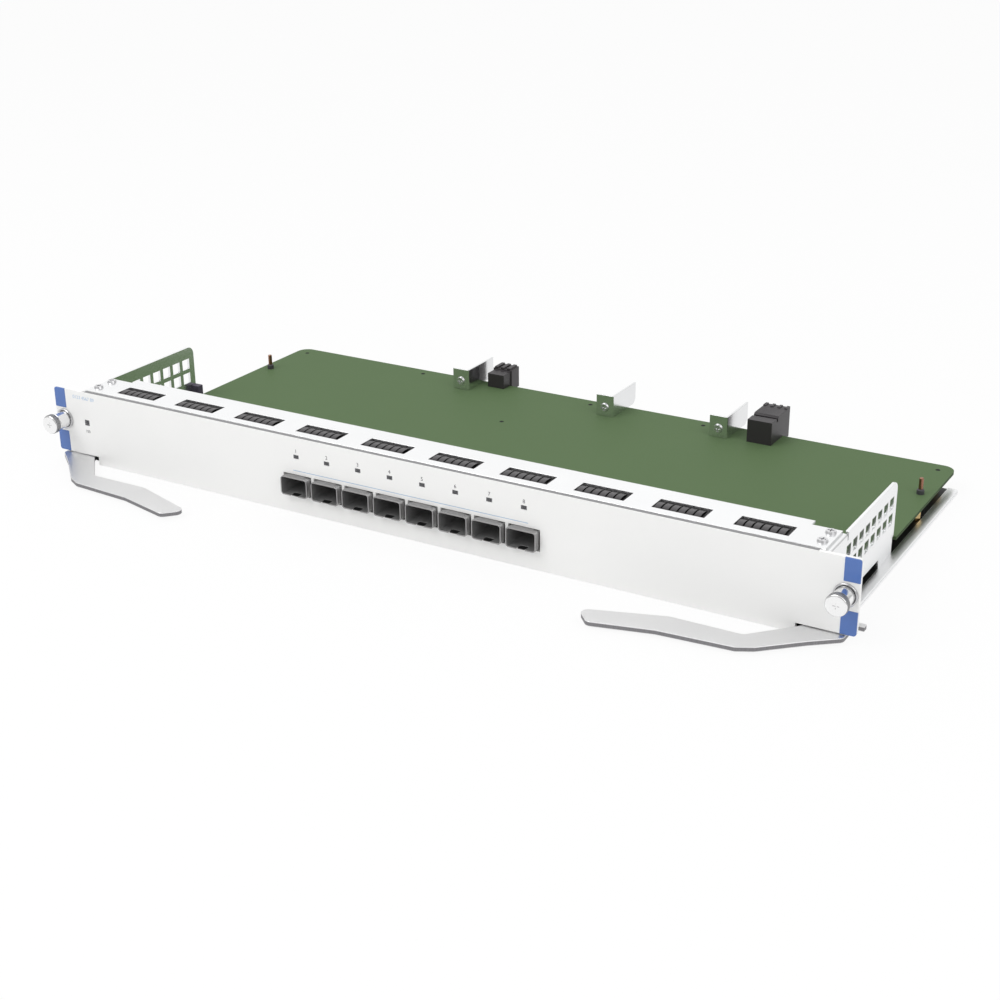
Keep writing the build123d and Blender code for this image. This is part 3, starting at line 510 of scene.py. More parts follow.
def turned(name, centre, profile, material):
    """A piece turned about the axis along Y through a centre, from radii and places along Y in millimetres.

    The profile starts and ends on the axis, or runs round a ring. A radius may be a function of the turn.
    """
    build = bmesh.new()
    steps = 64
    rows = []
    for radius, along in profile:
        row = []
        for step in range(steps if radius else 1):
            turn = step / steps
            reach = (radius(turn) if callable(radius) else radius) * MM
            angle = turn * math.tau
            place = (centre.x + reach * math.cos(angle), along * MM, centre.z + reach * math.sin(angle))
            row.append(build.verts.new(place))
        rows.append(row)
    if len(rows[0]) > 1:
        rows.append(rows[0])
    for row, after in zip(rows, rows[1:]):
        for step in range(steps):
            here = (row[step % len(row)], row[(step + 1) % len(row)])
            there = (after[(step + 1) % len(after)], after[step % len(after)])
            build.faces.new(dict.fromkeys(here + there))
    return closed(build, name, material, 32.0)


def thread(crest, root, start, end, pitch):
    """The rows of a helical thread for a turned piece, in millimetres."""
    rows = []
    count = round((end - start) / pitch * 8)
    for row in range(count + 1):
        along = start + (end - start) * row / count

        def radius(turn, along=along):
            wave = abs(((along - start) / pitch - turn) % 1.0 - 0.5) * 2.0
            return root + (crest - root) * wave

        rows.append((radius, along))
    return rows


def cut_cross(piece, centre, front, length, width, depth):
    """Cuts a cross recess into the front end of a piece."""
    build = bmesh.new()
    at = Matrix.Translation((centre.x, front, centre.z))
    for x, z in ((length, width), (width, length)):
        bmesh.ops.create_cube(build, size=1.0, matrix=at @ Matrix.Diagonal((x, depth * 2, z, 1.0)))
    cutter = new_piece("cross_cutter", keep(build, bpy.data.meshes.new("cross_cutter")))
    cut = piece.modifiers.new("cross recess", "BOOLEAN")
    cut.object = cutter
    cut.use_self = True
    piece.data = plain_mesh(piece)
    bpy.data.objects.remove(cutter)


def long_corner(convex):
    """A test for the long corners along Y of a folded box, outside or inside."""

    def test(edge):
        span = edge.verts[0].co - edge.verts[1].co
        return abs(span.y) > 30.0 * MM and edge.is_convex == convex

    return test


def elbow(node, convex):
    """A test for the corner lines of the bends where light pipes turn down, outside or inside."""
    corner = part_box(node)[1] - Vector((0.0, 1.0, 1.0)) * (0.0 if convex else PIPE)

    def test(edge):
        gaps = [abs(vertex.co[axis] - corner[axis]) for vertex in edge.verts for axis in (1, 2)]
        return max(gaps) < 0.05 * MM

    return test


class Pattern(Tree):
    """A Geometry Nodes tree that ends in Realize Instances and Set Material."""

    def __init__(self, name, sizes):
        super().__init__(bpy.data.node_groups.new(name, "GeometryNodeTree"))
        new_socket = self.tree.interface.new_socket
        for way in ("INPUT", "OUTPUT"):
            new_socket(name="Geometry", in_out=way, socket_type="NodeSocketGeometry")
        self.keys = {}
        self.values = sizes
        for size, value in sizes.items():
            kind = "NodeSocketInt" if isinstance(value, int) else "NodeSocketFloat"
            self.keys[size] = new_socket(name=size, in_out="INPUT", socket_type=kind).identifier
        self.start = self.node("NodeGroupInput")

    def __getitem__(self, name):
        return Field(self, self.start.outputs[name])

    def form(self, kind, sockets, settings=None):
        """What a new Geometry Nodes node gives."""
        return self.out(f"GeometryNode{kind}", settings, sockets)

    def vector(self, x=0.0, y=0.0, z=0.0):
        return self.out("ShaderNodeCombineXYZ", {}, {0: x, 1: y, 2: z})

    def moved(self, geometry, x=0.0, y=0.0, z=0.0):
        return self.form("Transform", {"Geometry": geometry, "Translation": self.vector(x, y, z)})

    def block(self, x, y, z, rows=2):
        """A box centred on the origin, cut into rows along Y."""
        return self.form("MeshCube", {"Size": self.vector(x, y, z), "Vertices Y": rows})

    def bar(self, sides, radius, length):
        """An upright round bar centred on the origin."""
        sockets = {"Vertices": sides, "Radius": radius, "Depth": length}
        return self.form("MeshCylinder", sockets, {"fill_type": "NGON"})

    def disc(self, radius, taper, height):
        """An upright round disc on the origin that is narrower at its top."""
        sockets = {"Vertices": 40, "Radius Top": radius * taper, "Radius Bottom": radius, "Depth": height}
        return self.form("MeshCone", sockets, {"fill_type": "NGON"})

    def row(self, geometry, count, pitch):
        """Copies of the geometry in a row along X, centred."""
        start = self.vector((count - 1.0) * pitch * -0.5)
        sockets = {"Count": count, "Start Location": start, "Offset": self.vector(pitch)}
        points = self.form("MeshLine", sockets, {"mode": "OFFSET"})
        return self.form("InstanceOnPoints", {"Points": points, "Instance": geometry})

    def close(self, material, *parts):
        """Joins the parts, sets a copy on every point, turned to the way it faces, and ends the tree."""
        whole = self.form("JoinGeometry", {0: list(parts)})
        facing = self.form("InputNamedAttribute", {"Name": "facing"}, {"data_type": "FLOAT_VECTOR"})
        turn = self.out("FunctionNodeAlignRotationToVector", {"axis": "Z"}, {"Vector": facing})
        sockets = {"Points": self.start.outputs[0], "Instance": whole, "Rotation": turn}
        solid = self.form("RealizeInstances", {0: self.form("InstanceOnPoints", sockets)})
        dressed = self.form("SetMaterial", {"Geometry": solid, "Material": material})
        self.feed(self.node("NodeGroupOutput").inputs[0], dressed)
        return self

    def grow(self, name, seats, node, smooth_angle=35.0):
        """Runs the tree on points, each with the way it faces, and keeps the plain result for a CAD node."""
        points = bpy.data.meshes.new(name)
        points.from_pydata([place for place, _ in seats], [], [])
        facing = points.attributes.new("facing", "FLOAT_VECTOR", "POINT")
        facing.data.foreach_set("vector", [part for _, way in seats for part in way])
        piece = new_piece(name, points)
        modifier = piece.modifiers.new("pattern", "NODES")
        modifier.node_group = self.tree
        for size, value in self.values.items():
            modifier[self.keys[size]] = value
        piece.data = plain_mesh(piece)
        build = merged(piece.data, 1e-7)
        bmesh.ops.recalc_face_normals(build, faces=build.faces)
        keep(build, piece.data, smooth_angle)
        return stand_for(piece, node)


def cross_recessed_screw(material, sizes):
    """A round tapered head with a cross recess, over a plain shank."""
    pattern = Pattern("cross_recessed_screw", sizes)
    height, depth = pattern["Head height"], pattern["Recess depth"] * 2.0
    long, wide = pattern["Recess length"], pattern["Recess width"]
    head = pattern.disc(pattern["Head radius"], 0.84, height)
    bars = [pattern.moved(pattern.block(x, y, depth), z=height) for x, y in ((long, wide), (wide, long))]
    exact = {"operation": "DIFFERENCE", "solver": "EXACT"}
    cut = pattern.form("MeshBoolean", {"Mesh 1": head, "Mesh 2": bars}, exact)
    shank = pattern.bar(24, pattern["Shank radius"], pattern["Shank length"])
    return pattern.close(material, cut, pattern.moved(shank, z=pattern["Shank length"] * -0.5))


def turned_pin(material, sizes):
    """A plain round pin with a softly rounded top."""
    pattern = Pattern("turned_pin", sizes)
    radius = pattern["Radius"]
    height = pattern["Height"] - radius * 0.3
    shaft = pattern.moved(pattern.bar(40, radius, height), z=height * 0.5)
    crown = pattern.moved(pattern.disc(radius, 0.72, radius * 0.3), z=height - 0.02 * MM)
    return pattern.close(material, shaft, crown)


def round_wire_coil(material, sizes):
    """A coil spring of round wire that stands on its own point."""
    pattern = Pattern("round_wire_coil", sizes)
    radius = pattern["Coil radius"]
    sockets = {"Resolution": 48, "Rotations": pattern["Turns"], "Height": pattern["Length"]}
    coil = pattern.form("CurveSpiral", {**sockets, "Start Radius": radius, "End Radius": radius})
    wire = pattern.form("CurvePrimitiveCircle", {"Resolution": 12, "Radius": pattern["Wire radius"]})
    tube = pattern.form("CurveToMesh", {"Curve": coil, "Profile Curve": wire, "Fill Caps": True})
    return pattern.close(material, tube)


def sprung_contacts(material, sizes):
    """A thin strip, and under each window of the top strip a row of thin fingers that arch up from it."""
    pattern = Pattern("sprung_contacts", sizes)
    thick, window = pattern["Thickness"], pattern["Window width"]
    sheet = pattern.block(pattern["Length"], pattern["Width"], thick)
    finger = pattern.block(pattern["Finger width"], window + thick, thick, rows=15)
    place = pattern.form("InputPosition", {})
    across = Field(pattern, pattern.out("ShaderNodeSeparateXYZ", {}, {0: place}, output=1)) / (window * 0.5)
    lift = pattern["Rise"] * (1.0 - across * across).or_more(0.0)
    finger = pattern.form("SetPosition", {"Geometry": finger, "Offset": pattern.vector(z=lift)})
    comb = pattern.row(finger, pattern["Fingers"], pattern["Finger pitch"])
    comb = pattern.moved(comb, x=pattern["Comb offset"])
    return pattern.close(material, sheet, pattern.row(comb, pattern["Windows"], pattern["Window pitch"]))


def numeral(text, place, height, depth, material):
    """A plain number that stands a hair proud of the faceplate."""
    curve = bpy.data.curves.new("numeral", "FONT")
    curve.body = text
    curve.size = height
    curve.extrude = depth
    curve.align_x = "CENTER"
    curve.align_y = "CENTER"
    piece = new_piece("numeral_curve", curve)
    mesh = plain_mesh(piece)
    bpy.data.objects.remove(piece)
    mesh.transform(Matrix.Translation(place) @ Matrix.Rotation(math.radians(90.0), 4, "X"))
    mesh.materials.clear()
    mesh.materials.append(material)
    return mesh


def latch_tongues(material):
    """The sprung tongue in the notch under each port's mouth, narrower and bowed up to its free end."""
    build = bmesh.new()
    for cage in PORT_CAGES:
        centre, low = middle(cage).x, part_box(cage)[0]
        rings = []
        for back, half, rise in TONGUE:
            place = low.y + back * MM
            base = low.z + rise * MM
            top = base + TONGUE_SHEET
            corners = ((-half, base), (half, base), (half, top), (-half, top))
            rings.append([build.verts.new((centre + x * MM, place, z)) for x, z in corners])
        for ring, after in zip(rings, rings[1:]):
            for side in range(4):
                turn = (side + 1) % 4
                build.faces.new((ring[side], ring[turn], after[turn], after[side]))
        build.faces.new(rings[0])
        build.faces.new(rings[-1])
    return closed(build, "cage_latch_tongues", material)


# A latch tongue's rows in millimetres: place behind the mouth, half width, rise over the cage's underside
TONGUE = ((0.4, 1.5, 0.1), (1.2, 1.7, 0.16), (2.2, 1.85, 0.16), (3.5, 1.9, 0.1))
TONGUE_SHEET = 0.3 * MM

# What a small screw's tree is told about it
SCREW_SIZES = ["Head radius", "Head height", "Shank radius", "Shank length"]
SCREW_SIZES += ["Recess length", "Recess width", "Recess depth"]

# Profiles of the turned pieces: radius and place along Y, in millimetres
KNOB = [
    (0.0, -12.8), (3.7, -12.8), (4.1, -12.7), (4.42, -12.4), (4.58, -11.95), (4.58, -10.1),
    (4.46, -9.75), (4.15, -9.6), (3.7, -9.6), (3.6, -9.45), (3.6, -9.1), (3.7, -8.95), (3.93, -8.8),
    (3.93, -3.1), (3.7, -2.82), (3.35, -2.82), (3.2, -3.0), (3.2, -8.88), (2.0, -8.88), (2.0, 1.98),
    (1.6, 2.02), (1.6, 2.88), (1.98, 2.92), (1.98, 3.0),
    *thread(1.98, 1.6, 3.05, 6.2, 0.7),
    (1.45, 6.58), (0.0, 6.58),
]
FERRULE = [
    (4.3, -2.98), (4.7, -2.98), (4.88, -2.8), (4.88, -2.02), (4.36, -1.98), (4.36, 1.8), (4.2, 1.98),
    (2.12, 1.98), (2.12, 1.1), (4.05, 1.1), (4.05, -2.8),
]


# Sizes and colours that a user would change


def amount(name, description, default, **kind):
    """A number, plain unless it is told a unit or subtype."""
    return bpy.props.FloatProperty(name=name, description=description, default=default, **kind)


def amounts(name, description, default, **kind):
    """Numbers that belong together."""
    size = len(default)
    return bpy.props.FloatVectorProperty(
        name=name, description=description, default=default, size=size, **kind
    )


def paint(name, description, default):
    """A colour."""
    return amounts(name, description, default, subtype="COLOR")


def metres(name, description, default):
    """A length in metres."""
    return amount(name, description, default, unit="LENGTH")


def places(name, description, default):
    """Several places in metres, or the parts of one."""
    return amounts(name, description, default, unit="LENGTH")


def turn(name, description, degrees):
    """An angle, from its default in degrees."""
    return amount(name, description, math.radians(degrees), subtype="ANGLE")


class LineCardLook(bpy.types.PropertyGroup):
    """How the card is finished."""

    face_colour: paint("Faceplate", "Powder coat of the faceplate", (0.90, 0.90, 0.89))
    inlay_colour: paint("Inlays", "Blue inlays beside the captive screws", (0.075, 0.165, 0.46))
    rule_colour: paint("Rule", "Thin line over the ports", (0.42, 0.55, 0.72))
    board_colour: paint("Board", "Varnish of the circuit board", (0.108, 0.168, 0.080))
    ink_colour: paint("Ink", "Print around the lights and of the numbers", (0.09, 0.09, 0.10))
    pipe_colour: paint("Light pipes", "Smoked plastic of the light pipes", (0.055, 0.055, 0.06))
    edge: metres("Sheet edge", "Break on sheet metal edges", 0.15 * MM)
    rule_gap: metres("Rule gap", "From the ports' top to the rule", 1.8 * MM)
    rule_height: metres("Rule height", "Height of the rule", 0.35 * MM)
    rule_over: metres("Rule overhang", "The rule's ends past the outer ports' middles", 2.0 * MM)
    surround_width: metres("Light print width", "Dark print around each light", 2.8 * MM)
    surround_height: metres("Light print height", "Dark print around each light", 1.8 * MM)
    numeral_height: metres("Numerals", "Height of the port numbers", 2.4 * MM)
    numeral_rise: metres("Numeral rise", "From a light to its number", 2.6 * MM)
    track_pitch: metres("Track pitch", "Spacing of the board's tracks", 1.1 * MM)
    dot_radius: metres("Tooling holes", "Radius of the board's tooling holes", 1.1 * MM)
    dot_inset: metres("Tooling inset", "From the board's rear edge", 5.7 * MM)
    dot_corner_inset: metres("Corner inset", "From a rear corner's two edges", 6.9 * MM)
    dot_middle: places("Middle hole", "Place of the hole near the middle", (-25.5 * MM, 122.0 * MM))
    dot_places: places("Tooling places", "Places along the rear edge", (-99.0 * MM, 1.4 * MM, 63.3 * MM))


class StudioLook(bpy.types.PropertyGroup):
    """How the studio is set up."""

    camera_place: places("Camera", "Where the camera stands", (0.36729, -0.54763, 0.29639))
    camera_turn: turn("Turn", "Camera turned left from straight back", 30.477)
    camera_dip: turn("Dip", "Camera tilted down", 22.989)
    camera_roll: turn("Roll", "Camera rolled", -0.473)
    lens: amount("Lens", "Focal length in millimetres", 60.47)
    sky: amount("Sky", "Strength of the studio's overall light", 0.66)
    glow: amount("Glow", "Strength of the white card behind the object", 0.5)
    glow_way: amounts("Glow direction", "Where the white card is", (-0.47, 0.79, 0.39), subtype="DIRECTION")
    key: amount("Key", "Power of the key light in watts", 7.0)
    fill: amount("Fill", "Power of the fill light in watts", 3.0)
    floor_glow: amount("Floor white", "How much of the floor shows as plain white", 0.9)


# Operators, one for each piece or group of like pieces


class LINECARD_OT_faceplate(bpy.types.Operator):
    """Coats the faceplate and sets plain numbers over its lights"""

    bl_idname = "linecard.faceplate"
    bl_label = "Faceplate"

    def execute(self, context):
        look = context.scene.line_card
        machined("faceplate", painted_face(look), look.edge)
        ink = moulded("numeral_ink", look.ink_colour, roughness=0.5)
        pale = moulded("numeral_pale", look.rule_colour, roughness=0.5)
        low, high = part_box("faceplate")
        face = low.y - 0.01 * MM
        over = port_light_height() + look.numeral_rise
        size = look.numeral_height
        status = status_light()
        numbers = []
        for number, cage in enumerate(PORT_CAGES, start=1):
            numbers.append((str(number), (middle(cage).x, face, over), size))
        numbers.append(("100", (status.x, face, status.z - 4.4 * MM), size * 0.8))
        numbers.append(("0123 4567 89", (status.x - 1.0 * MM, face, high.z - 3.1 * MM), size))
        for count, (text, place, height) in enumerate(numbers, start=1):
            mesh = numeral(text, Vector(place), height, 0.02 * MM, pale if len(text) > 3 else ink)
            belong_to(new_piece(f"numeral_{count}", mesh), "faceplate")
        return {"FINISHED"}


class LINECARD_OT_inlays(bpy.types.Operator):
    """Gives the four ear inlays their blue enamel"""

    bl_idname = "linecard.inlays"
    bl_label = "Ear Inlays"

    def execute(self, context):
        look = context.scene.line_card
        blue = enamel("blue_enamel", look.inlay_colour)
        for hand in HANDS:
            for level in ("upper", "lower"):
                machined(f"ear_inlay_{hand}_{level}", blue, look.edge)
        return {"FINISHED"}


class LINECARD_OT_gasket(bpy.types.Operator):
    """Gives the seam gasket its open foam"""

    bl_idname = "linecard.gasket"
    bl_label = "Seam Gasket"

    def execute(self, context):
        look = context.scene.line_card
        machined("seam_gasket", foam("seam_foam", (0.26, 0.26, 0.265)), look.edge * 2.0)
        return {"FINISHED"}


class LINECARD_OT_top_strip(bpy.types.Operator):
    """Finishes the windowed top strip and the sprung contacts in its windows"""

    bl_idname = "linecard.top_strip"
    bl_label = "Top Strip"

    def execute(self, context):
        look = context.scene.line_card
        machined("top_strip", rolled_sheet("strip_sheet", (0.88, 0.885, 0.89), 0.20, 0), look.edge)
        low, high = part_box("contact_strip")
        sizes = {
            "Length": high.x - low.x,
            "Width": high.y - low.y,
            "Thickness": CONTACT_SHEET,
            "Windows": 10,
            "Window pitch": 34.75 * MM,
            "Window width": 8.0 * MM,
            "Fingers": 6,
            "Finger width": 2.7 * MM,
            "Finger pitch": 3.45 * MM,
            "Comb offset": -0.9 * MM,
            "Rise": high.z - low.z - CONTACT_SHEET,
        }
        place = Vector(((low.x + high.x) / 2, (low.y + high.y) / 2, low.z + CONTACT_SHEET / 2))
        pattern = sprung_contacts(contact_spring(), sizes)
        pattern.grow("contact_fingers", [(place, UP)], "contact_strip", smooth_angle=40.0)
        return {"FINISHED"}


class LINECARD_OT_brackets(bpy.types.Operator):
    """Finishes the perforated side brackets, their nuts and blocks"""

    bl_idname = "linecard.brackets"
    bl_label = "Side Brackets"

    def execute(self, context):
        look = context.scene.line_card
        sheet = rolled_sheet("bright_sheet", (0.86, 0.865, 0.87), 0.22, 1)
        for hand in HANDS:
            machined(f"side_bracket_{hand}", sheet, look.edge)
        machined("stud_nuts", polished("nut_steel", (0.70, 0.71, 0.73), 0.22), 0.2 * MM)
        machined("wall_blocks", moulded("block_violet", (0.075, 0.06, 0.095)), 0.3 * MM)
        return {"FINISHED"}


class LINECARD_OT_tray(bpy.types.Operator):
    """Finishes the base tray and the standoffs on it"""

    bl_idname = "linecard.tray"
    bl_label = "Base Tray"

    def execute(self, context):
        look = context.scene.line_card
        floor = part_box("board_standoffs")[0].z
        # The tray's top face at the standoffs' foot is painted near black: painted shade under the board.
        shade = (floor - 0.05 * MM, floor + 0.05 * MM, (0.05, 0.05, 0.052))
        machined("base_tray", rolled_sheet("tray_sheet", (0.90, 0.905, 0.91), 0.34, 0, shade), look.edge)
        machined("board_standoffs", polished("standoff_brass", (0.72, 0.53, 0.26), 0.20), 0.25 * MM)
        return {"FINISHED"}


class LINECARD_OT_board(bpy.types.Operator):
    """Varnishes the circuit board"""

    bl_idname = "linecard.board"
    bl_label = "Circuit Board"

    def execute(self, context):
        look = context.scene.line_card
        machined("circuit_board", varnished_board(look), 0.08 * MM)
        return {"FINISHED"}


class LINECARD_OT_ports(bpy.types.Operator):
    """Finishes the port cages and the receptacles inside them"""

    bl_idname = "linecard.ports"
    bl_label = "Ports"

    def execute(self, context):
        sheet = cage_sheet()
        folds = [(long_corner(outside), radius) for outside, radius in zip((True, False), CAGE_FOLDS)]
        black = moulded("receptacle_black", (0.06, 0.06, 0.062))
        *others, last = PORT_CAGES
        finished = machined(last, sheet, 0.08 * MM, rounds=folds)
        for cage in others:
            mesh = finished.data.copy()
            mesh.transform(Matrix.Translation(middle(cage) - middle(last)))
            stand_for(new_piece(f"{cage}_finished", mesh), cage)
        for receptacle in PORT_RECEPTACLES:
            machined(receptacle, black, 0.15 * MM)
        dark = rolled_sheet("tongue_sheet", (0.10, 0.10, 0.10), 0.4, 1)
        belong_to(latch_tongues(dark), last)
        return {"FINISHED"}


class LINECARD_OT_lights(bpy.types.Operator):
    """Finishes the light pipes and the light chips under them"""

    bl_idname = "linecard.lights"
    bl_label = "Light Pipes"

    def execute(self, context):
        look = context.scene.line_card
        smoke = smoked_guide(look)
        pipes = "light_pipe_bar"
        bends = [(elbow(pipes, outside), radius) for outside, radius in zip((True, False), PIPE_BENDS)]
        machined(pipes, smoke, 0.12 * MM, rounds=bends)
        machined("status_light_pipe", smoke, 0.12 * MM)
        machined("light_chips", chip_lens(), 0.06 * MM)
        return {"FINISHED"}


class LINECARD_OT_switch_chip(bpy.types.Operator):
    """Finishes the switch chip and its finned heat sink"""

    bl_idname = "linecard.switch_chip"
    bl_label = "Switch Chip"

    def execute(self, context):
        machined("switch_chip", moulded("chip_black", (0.03, 0.03, 0.032), roughness=0.55), 0.15 * MM)
        machined("chip_heat_sink", rolled_sheet("sink_metal", (0.55, 0.56, 0.57), 0.28, 1), 0.12 * MM)
        return {"FINISHED"}


class LINECARD_OT_guides(bpy.types.Operator):
    """Finishes the guide brackets and the blocks behind them"""

    bl_idname = "linecard.guides"
    bl_label = "Guide Brackets"

    def execute(self, context):
        look = context.scene.line_card
        sheet = rolled_sheet("guide_sheet", (0.78, 0.785, 0.79), 0.16, 2)
        for place in ("left", "centre", "right"):
            machined(f"guide_bracket_{place}", sheet, look.edge)
        machined("guide_blocks", moulded("guide_block_grey", (0.10, 0.10, 0.105)), 0.25 * MM)
        return {"FINISHED"}


class LINECARD_OT_connectors(bpy.types.Operator):
    """Finishes the signal and power connectors at the rear"""

    bl_idname = "linecard.connectors"
    bl_label = "Rear Connectors"

    def execute(self, context):
        dark = moulded("connector_dark", (0.030, 0.026, 0.029), roughness=0.40)
        machined("signal_connector", dark, 0.25 * MM)
        machined("power_connector", dark, 0.3 * MM)
        return {"FINISHED"}


class LINECARD_OT_posts(bpy.types.Operator):
    """Turns the copper posts and their dark collars round"""

    bl_idname = "linecard.posts"
    bl_label = "Ground Posts"

    def execute(self, context):
        copper = polished("post_copper", (0.30, 0.15, 0.10), 0.26)
        black = moulded("collar_black", (0.05, 0.05, 0.055))
        for node, material in (("ground_posts", copper), ("post_collars", black)):
            low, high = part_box(node)
            pattern = turned_pin(material, {"Radius": (high.y - low.y) / 2, "Height": high.z - low.z})
            pattern.grow(f"{node}_round", upright_seats(node, low.z, UP), node)
        return {"FINISHED"}


class LINECARD_OT_levers(bpy.types.Operator):
    """Finishes the ejector levers and their pivots"""

    bl_idname = "linecard.levers"
    bl_label = "Ejector Levers"

    def execute(self, context):
        low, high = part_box("ejector_lever_right")
        # The levers' sheared sides are painted dark grey: the bare edge with painted shade.
        cut = (low.z + 0.35 * MM, high.z - 0.35 * MM, (0.26, 0.255, 0.265))
        plate = rolled_sheet("lever_plate", (0.80, 0.80, 0.805), 0.36, 0, cut)
        steel = polished("pivot_steel", (0.70, 0.71, 0.73), 0.18)
        for hand in HANDS:
            machined(f"ejector_lever_{hand}", plate, 0.3 * MM, smooth_angle=30.0, segments=3)
            machined(f"lever_pivot_{hand}", steel, 0.3 * MM, smooth_angle=30.0)
        return {"FINISHED"}


class LINECARD_OT_captive_screws(bpy.types.Operator):
    """Polishes the captive screws and winds their springs from round wire"""

    bl_idname = "linecard.captive_screws"
    bl_label = "Captive Screws"

    def execute(self, context):
        chrome = knurled_chrome()
        ring = polished("ferrule_nickel", (0.55, 0.55, 0.56), 0.20)
        wire = polished("spring_wire", (0.55, 0.56, 0.58), 0.25)
        for hand in HANDS:
            ferrule, knob, spring = (f"captive_{part}_{hand}" for part in ("ferrule", "knob", "spring"))
            axis = middle(ferrule)
            stand_for(turned(f"{ferrule}_round", axis, FERRULE, ring), ferrule)
            turned_knob = turned(f"{knob}_round", axis, KNOB, chrome)
            cut_cross(turned_knob, axis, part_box(knob)[0].y, 2.6 * MM, 0.5 * MM, 0.35 * MM)
            stand_for(turned_knob, knob)
            machined(f"captive_clip_{hand}", wire, 0.1 * MM, smooth_angle=30.0)
            low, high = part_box(spring)
            place = Vector(((low.x + high.x) / 2, low.y + SPRING_WIRE, (low.z + high.z) / 2))
            sizes = {
                "Turns": 3.5,
                "Coil radius": (high.z - low.z) / 2 - SPRING_WIRE,
                "Length": high.y - low.y - 2 * SPRING_WIRE,
                "Wire radius": SPRING_WIRE,
            }
            coil = round_wire_coil(wire, sizes).grow(f"captive_coil_{hand}", [(place, BACK)], spring)
            kept = 1.0 - TRAVEL_OF[f"screw_push_{hand}"] / (high.y - low.y)
            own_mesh(coil)
        return {"FINISHED"}


class LINECARD_OT_screws(bpy.types.Operator):
    """Makes the small screws round and cuts their cross recesses"""

    bl_idname = "linecard.screws"
    bl_label = "Screws"

    def execute(self, context):
        steel = polished("screw_steel", (0.72, 0.72, 0.73), 0.30)
        low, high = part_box("tray_screws")
        shank = (high.z - low.z - FLAT_HEAD) / MM
        pan_seats = [seat_of(island) for island in islands("pan_head_screws")]
        flat_seats = upright_seats("tray_screws", low.z + FLAT_HEAD, -UP)
        for node, seats, sizes in (
            ("pan_head_screws", pan_seats, (2.3, 0.98, 1.22, 5.0, 2.8, 0.6, 0.6)),
            ("tray_screws", flat_seats, (1.82, FLAT_HEAD / MM, 0.95, shank, 2.0, 0.5, 0.4)),
        ):
            values = {size: value * MM for size, value in zip(SCREW_SIZES, sizes)}
            cross_recessed_screw(steel, values).grow(f"{node}_round", seats, node)
        return {"FINISHED"}


def islands(node):
    """The points of each separate solid of a CAD node."""
    build = merged(frame["nodes"][node].data)
    found = []
    seen = set()
    for start in build.verts:
        if start in seen:
            continue
        seen.add(start)
        group = [start]
        for vertex in group:
            near = [edge.other_vert(vertex) for edge in vertex.link_edges]
            fresh = [other for other in near if other not in seen]
            seen.update(fresh)
            group.extend(fresh)
        found.append([vertex.co.copy() for vertex in group])
    build.free()
    return found


def upright_seats(node, height, way):
    """A seat at one height for each solid of a CAD node, and the way that it faces."""
    centres = [sum(island, Vector()) / len(island) for island in islands(node)]
    return [(Vector((centre.x, centre.y, height)), way) for centre in centres]


def seat_of(points):
    """Where a pan head screw's head seats, and the way that the head faces."""
    low = Vector(min(p[axis] for p in points) for axis in range(3))
    high = Vector(max(p[axis] for p in points) for axis in range(3))
    size = high - low
    centre = (low + high) / 2
    axis = max(range(3), key=lambda part: size[part])
    ends = {-1: low[axis], 1: high[axis]}
    reach = {
        way: max((p - centre)[(axis + 1) % 3] for p in points if abs(p[axis] - end) < 1.2 * MM)
        for way, end in ends.items()
    }
    way = max(reach, key=reach.get)
    facing = Vector((0.0, 0.0, 0.0))
    facing[axis] = way
    seat = centre.copy()
    seat[axis] = ends[way] - way * PAN_HEAD
    return seat, facing


class LINECARD_OT_stage(bpy.types.Operator):
    """Sets up the floor, the soft light and the camera"""

    bl_idname = "linecard.stage"
    bl_label = "Studio"

    def execute(self, context):
        studio = context.scene.line_card_studio
        add_floor(studio)
        add_sky(context.scene, studio)
        add_lamp("key_light", (-0.55, -0.75, 1.05), 0.9, studio.key)
        add_lamp("fill_light", (0.95, -0.25, 0.70), 0.8, studio.fill)
        add_camera(context.scene, studio)
        context.scene.view_settings.view_transform = "Standard"
        return {"FINISHED"}


def add_floor(studio):
    """A pale floor that shows as white and keeps the object's soft shadow."""
    mesh = bpy.data.meshes.new("studio_floor")
    reach = 8.0
    corners = ((-reach, -reach), (reach, -reach), (reach, reach), (-reach, reach))
    mesh.from_pydata([(x, y, -0.1 * MM) for x, y in corners], [], [(0, 1, 2, 3)])
    floor = new_piece("studio_floor", mesh)
    finish = Finish("floor_white", roughness=0.9)
    cloud = finish.noise(0.4, detail=1.0)
    finish.set("Base Color", finish.tint((0.86, 0.86, 0.86), 0.01, cloud))
    path = finish.node("ShaderNodeLightPath")
    camera, glossy, through = (
        Field(finish, path.outputs[f"Is {kind} Ray"]) for kind in ("Camera", "Glossy", "Transmission")
    )
    seen = camera.or_more(glossy).or_more(through)
    glow = finish.out("ShaderNodeEmission", {}, {"Color": (1.0, 1.0, 1.0, 1.0), "Strength": 1.0})
    sockets = {0: seen * studio.floor_glow, 1: finish.shader.outputs[0], 2: glow}
    mix = finish.out("ShaderNodeMixShader", {}, sockets)
    finish.feed(finish.tree.nodes["Material Output"].inputs["Surface"], mix)
    mesh.materials.append(finish.material)


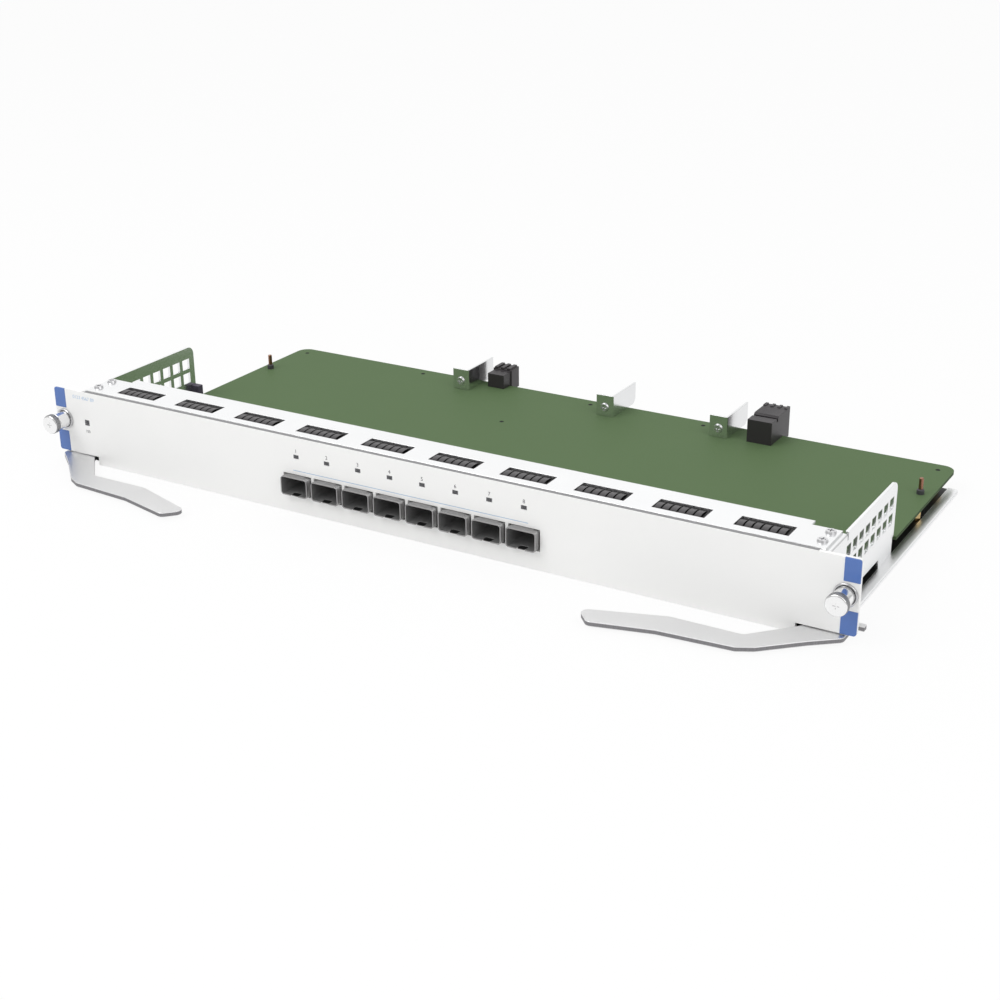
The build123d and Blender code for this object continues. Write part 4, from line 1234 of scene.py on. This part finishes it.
def add_sky(scene, studio):
    """An even studio light, brighter overhead than at the horizon, and white where it is seen."""
    world = bpy.data.worlds.new("studio_sky")
    world.use_nodes = True
    scene.world = world
    sky = Tree(world.node_tree)
    place = sky.out("ShaderNodeTexCoord", output="Generated")
    height = sky.out("ShaderNodeSeparateXYZ", {}, {0: place}, output=2)
    ramp = sky.out("ShaderNodeMapRange", {}, {0: height, 1: -0.1, 2: 0.9, 3: 0.62, 4: 1.12})
    sockets = {0: place, 1: tuple(studio.glow_way)}
    toward = sky.out("ShaderNodeVectorMath", {"operation": "DOT_PRODUCT"}, sockets, output="Value")
    sockets = {0: toward, 1: 0.35, 2: 0.95, 3: 0.0, 4: 1.0}
    card = sky.out("ShaderNodeMapRange", {"interpolation_type": "SMOOTHSTEP"}, sockets)
    seen = Field(sky, sky.out("ShaderNodeLightPath", output="Is Camera Ray"))
    light = Field(sky, ramp) * studio.sky + Field(sky, card) * studio.glow
    strength = light * (1.0 - seen) + seen
    background = world.node_tree.nodes["Background"]
    background.inputs["Color"].default_value = (1.0, 1.0, 1.0, 1.0)
    sky.feed(background.inputs["Strength"], strength)


def add_lamp(name, place, size, power):
    """A square soft light aimed at the middle of the card."""
    light = bpy.data.lights.new(name, "AREA")
    light.energy = power
    light.size = size
    lamp = new_piece(name, light)
    lamp.location = place
    lamp.rotation_euler = (Vector((0.0, 0.05, 0.0)) - lamp.location).to_track_quat("-Z", "Y").to_euler()


def add_camera(scene, studio):
    """The camera at the photograph's angle."""
    turn, dip, roll = studio.camera_turn, studio.camera_dip, studio.camera_roll
    ahead = Vector((-math.sin(turn) * math.cos(dip), math.cos(turn) * math.cos(dip), -math.sin(dip)))
    right = Vector((math.cos(turn), math.sin(turn), 0.0))
    up = right.cross(ahead)
    rolled_right = right * math.cos(roll) + up * math.sin(roll)
    rolled_up = up * math.cos(roll) - right * math.sin(roll)
    data = bpy.data.cameras.new("photo_camera")
    data.sensor_width = 36.0
    data.lens = studio.lens
    data.clip_start = 0.01
    camera = new_piece("photo_camera", data)
    facing = Matrix((rolled_right, rolled_up, -ahead)).transposed().to_4x4()
    camera.matrix_world = Matrix.Translation(Vector(studio.camera_place)) @ facing
    scene.camera = camera


class LINECARD_PT_panel(bpy.types.Panel):
    """Lists the card's pieces in the sidebar"""

    bl_label = "Line Card"
    bl_idname = "LINECARD_PT_panel"
    bl_space_type = "VIEW_3D"
    bl_region_type = "UI"
    bl_category = "Line Card"

    def draw(self, context):
        for group in (context.scene.line_card, context.scene.line_card_studio):
            box = self.layout.box()
            for name in group.bl_rna.properties.keys():
                if name not in ("rna_type", "name"):
                    box.prop(group, name)
        for operator in OPERATORS:
            self.layout.operator(operator.bl_idname)


OPERATORS = (
    LINECARD_OT_faceplate,
    LINECARD_OT_inlays,
    LINECARD_OT_gasket,
    LINECARD_OT_top_strip,
    LINECARD_OT_brackets,
    LINECARD_OT_tray,
    LINECARD_OT_board,
    LINECARD_OT_ports,
    LINECARD_OT_lights,
    LINECARD_OT_switch_chip,
    LINECARD_OT_guides,
    LINECARD_OT_connectors,
    LINECARD_OT_posts,
    LINECARD_OT_levers,
    LINECARD_OT_captive_screws,
    LINECARD_OT_screws,
    LINECARD_OT_stage,
)
CLASSES = (LineCardLook, StudioLook, *OPERATORS, LINECARD_PT_panel)


def register():
    for one in CLASSES:
        bpy.utils.register_class(one)
    bpy.types.Scene.line_card = bpy.props.PointerProperty(type=LineCardLook)
    bpy.types.Scene.line_card_studio = bpy.props.PointerProperty(type=StudioLook)


def unregister():
    del bpy.types.Scene.line_card_studio
    del bpy.types.Scene.line_card
    for one in reversed(CLASSES):
        bpy.utils.unregister_class(one)


def main():
    register()
    for operator in OPERATORS:
        group, name = operator.bl_idname.split(".")
        getattr(getattr(bpy.ops, group), name)()


if __name__ == "__main__":
    main()
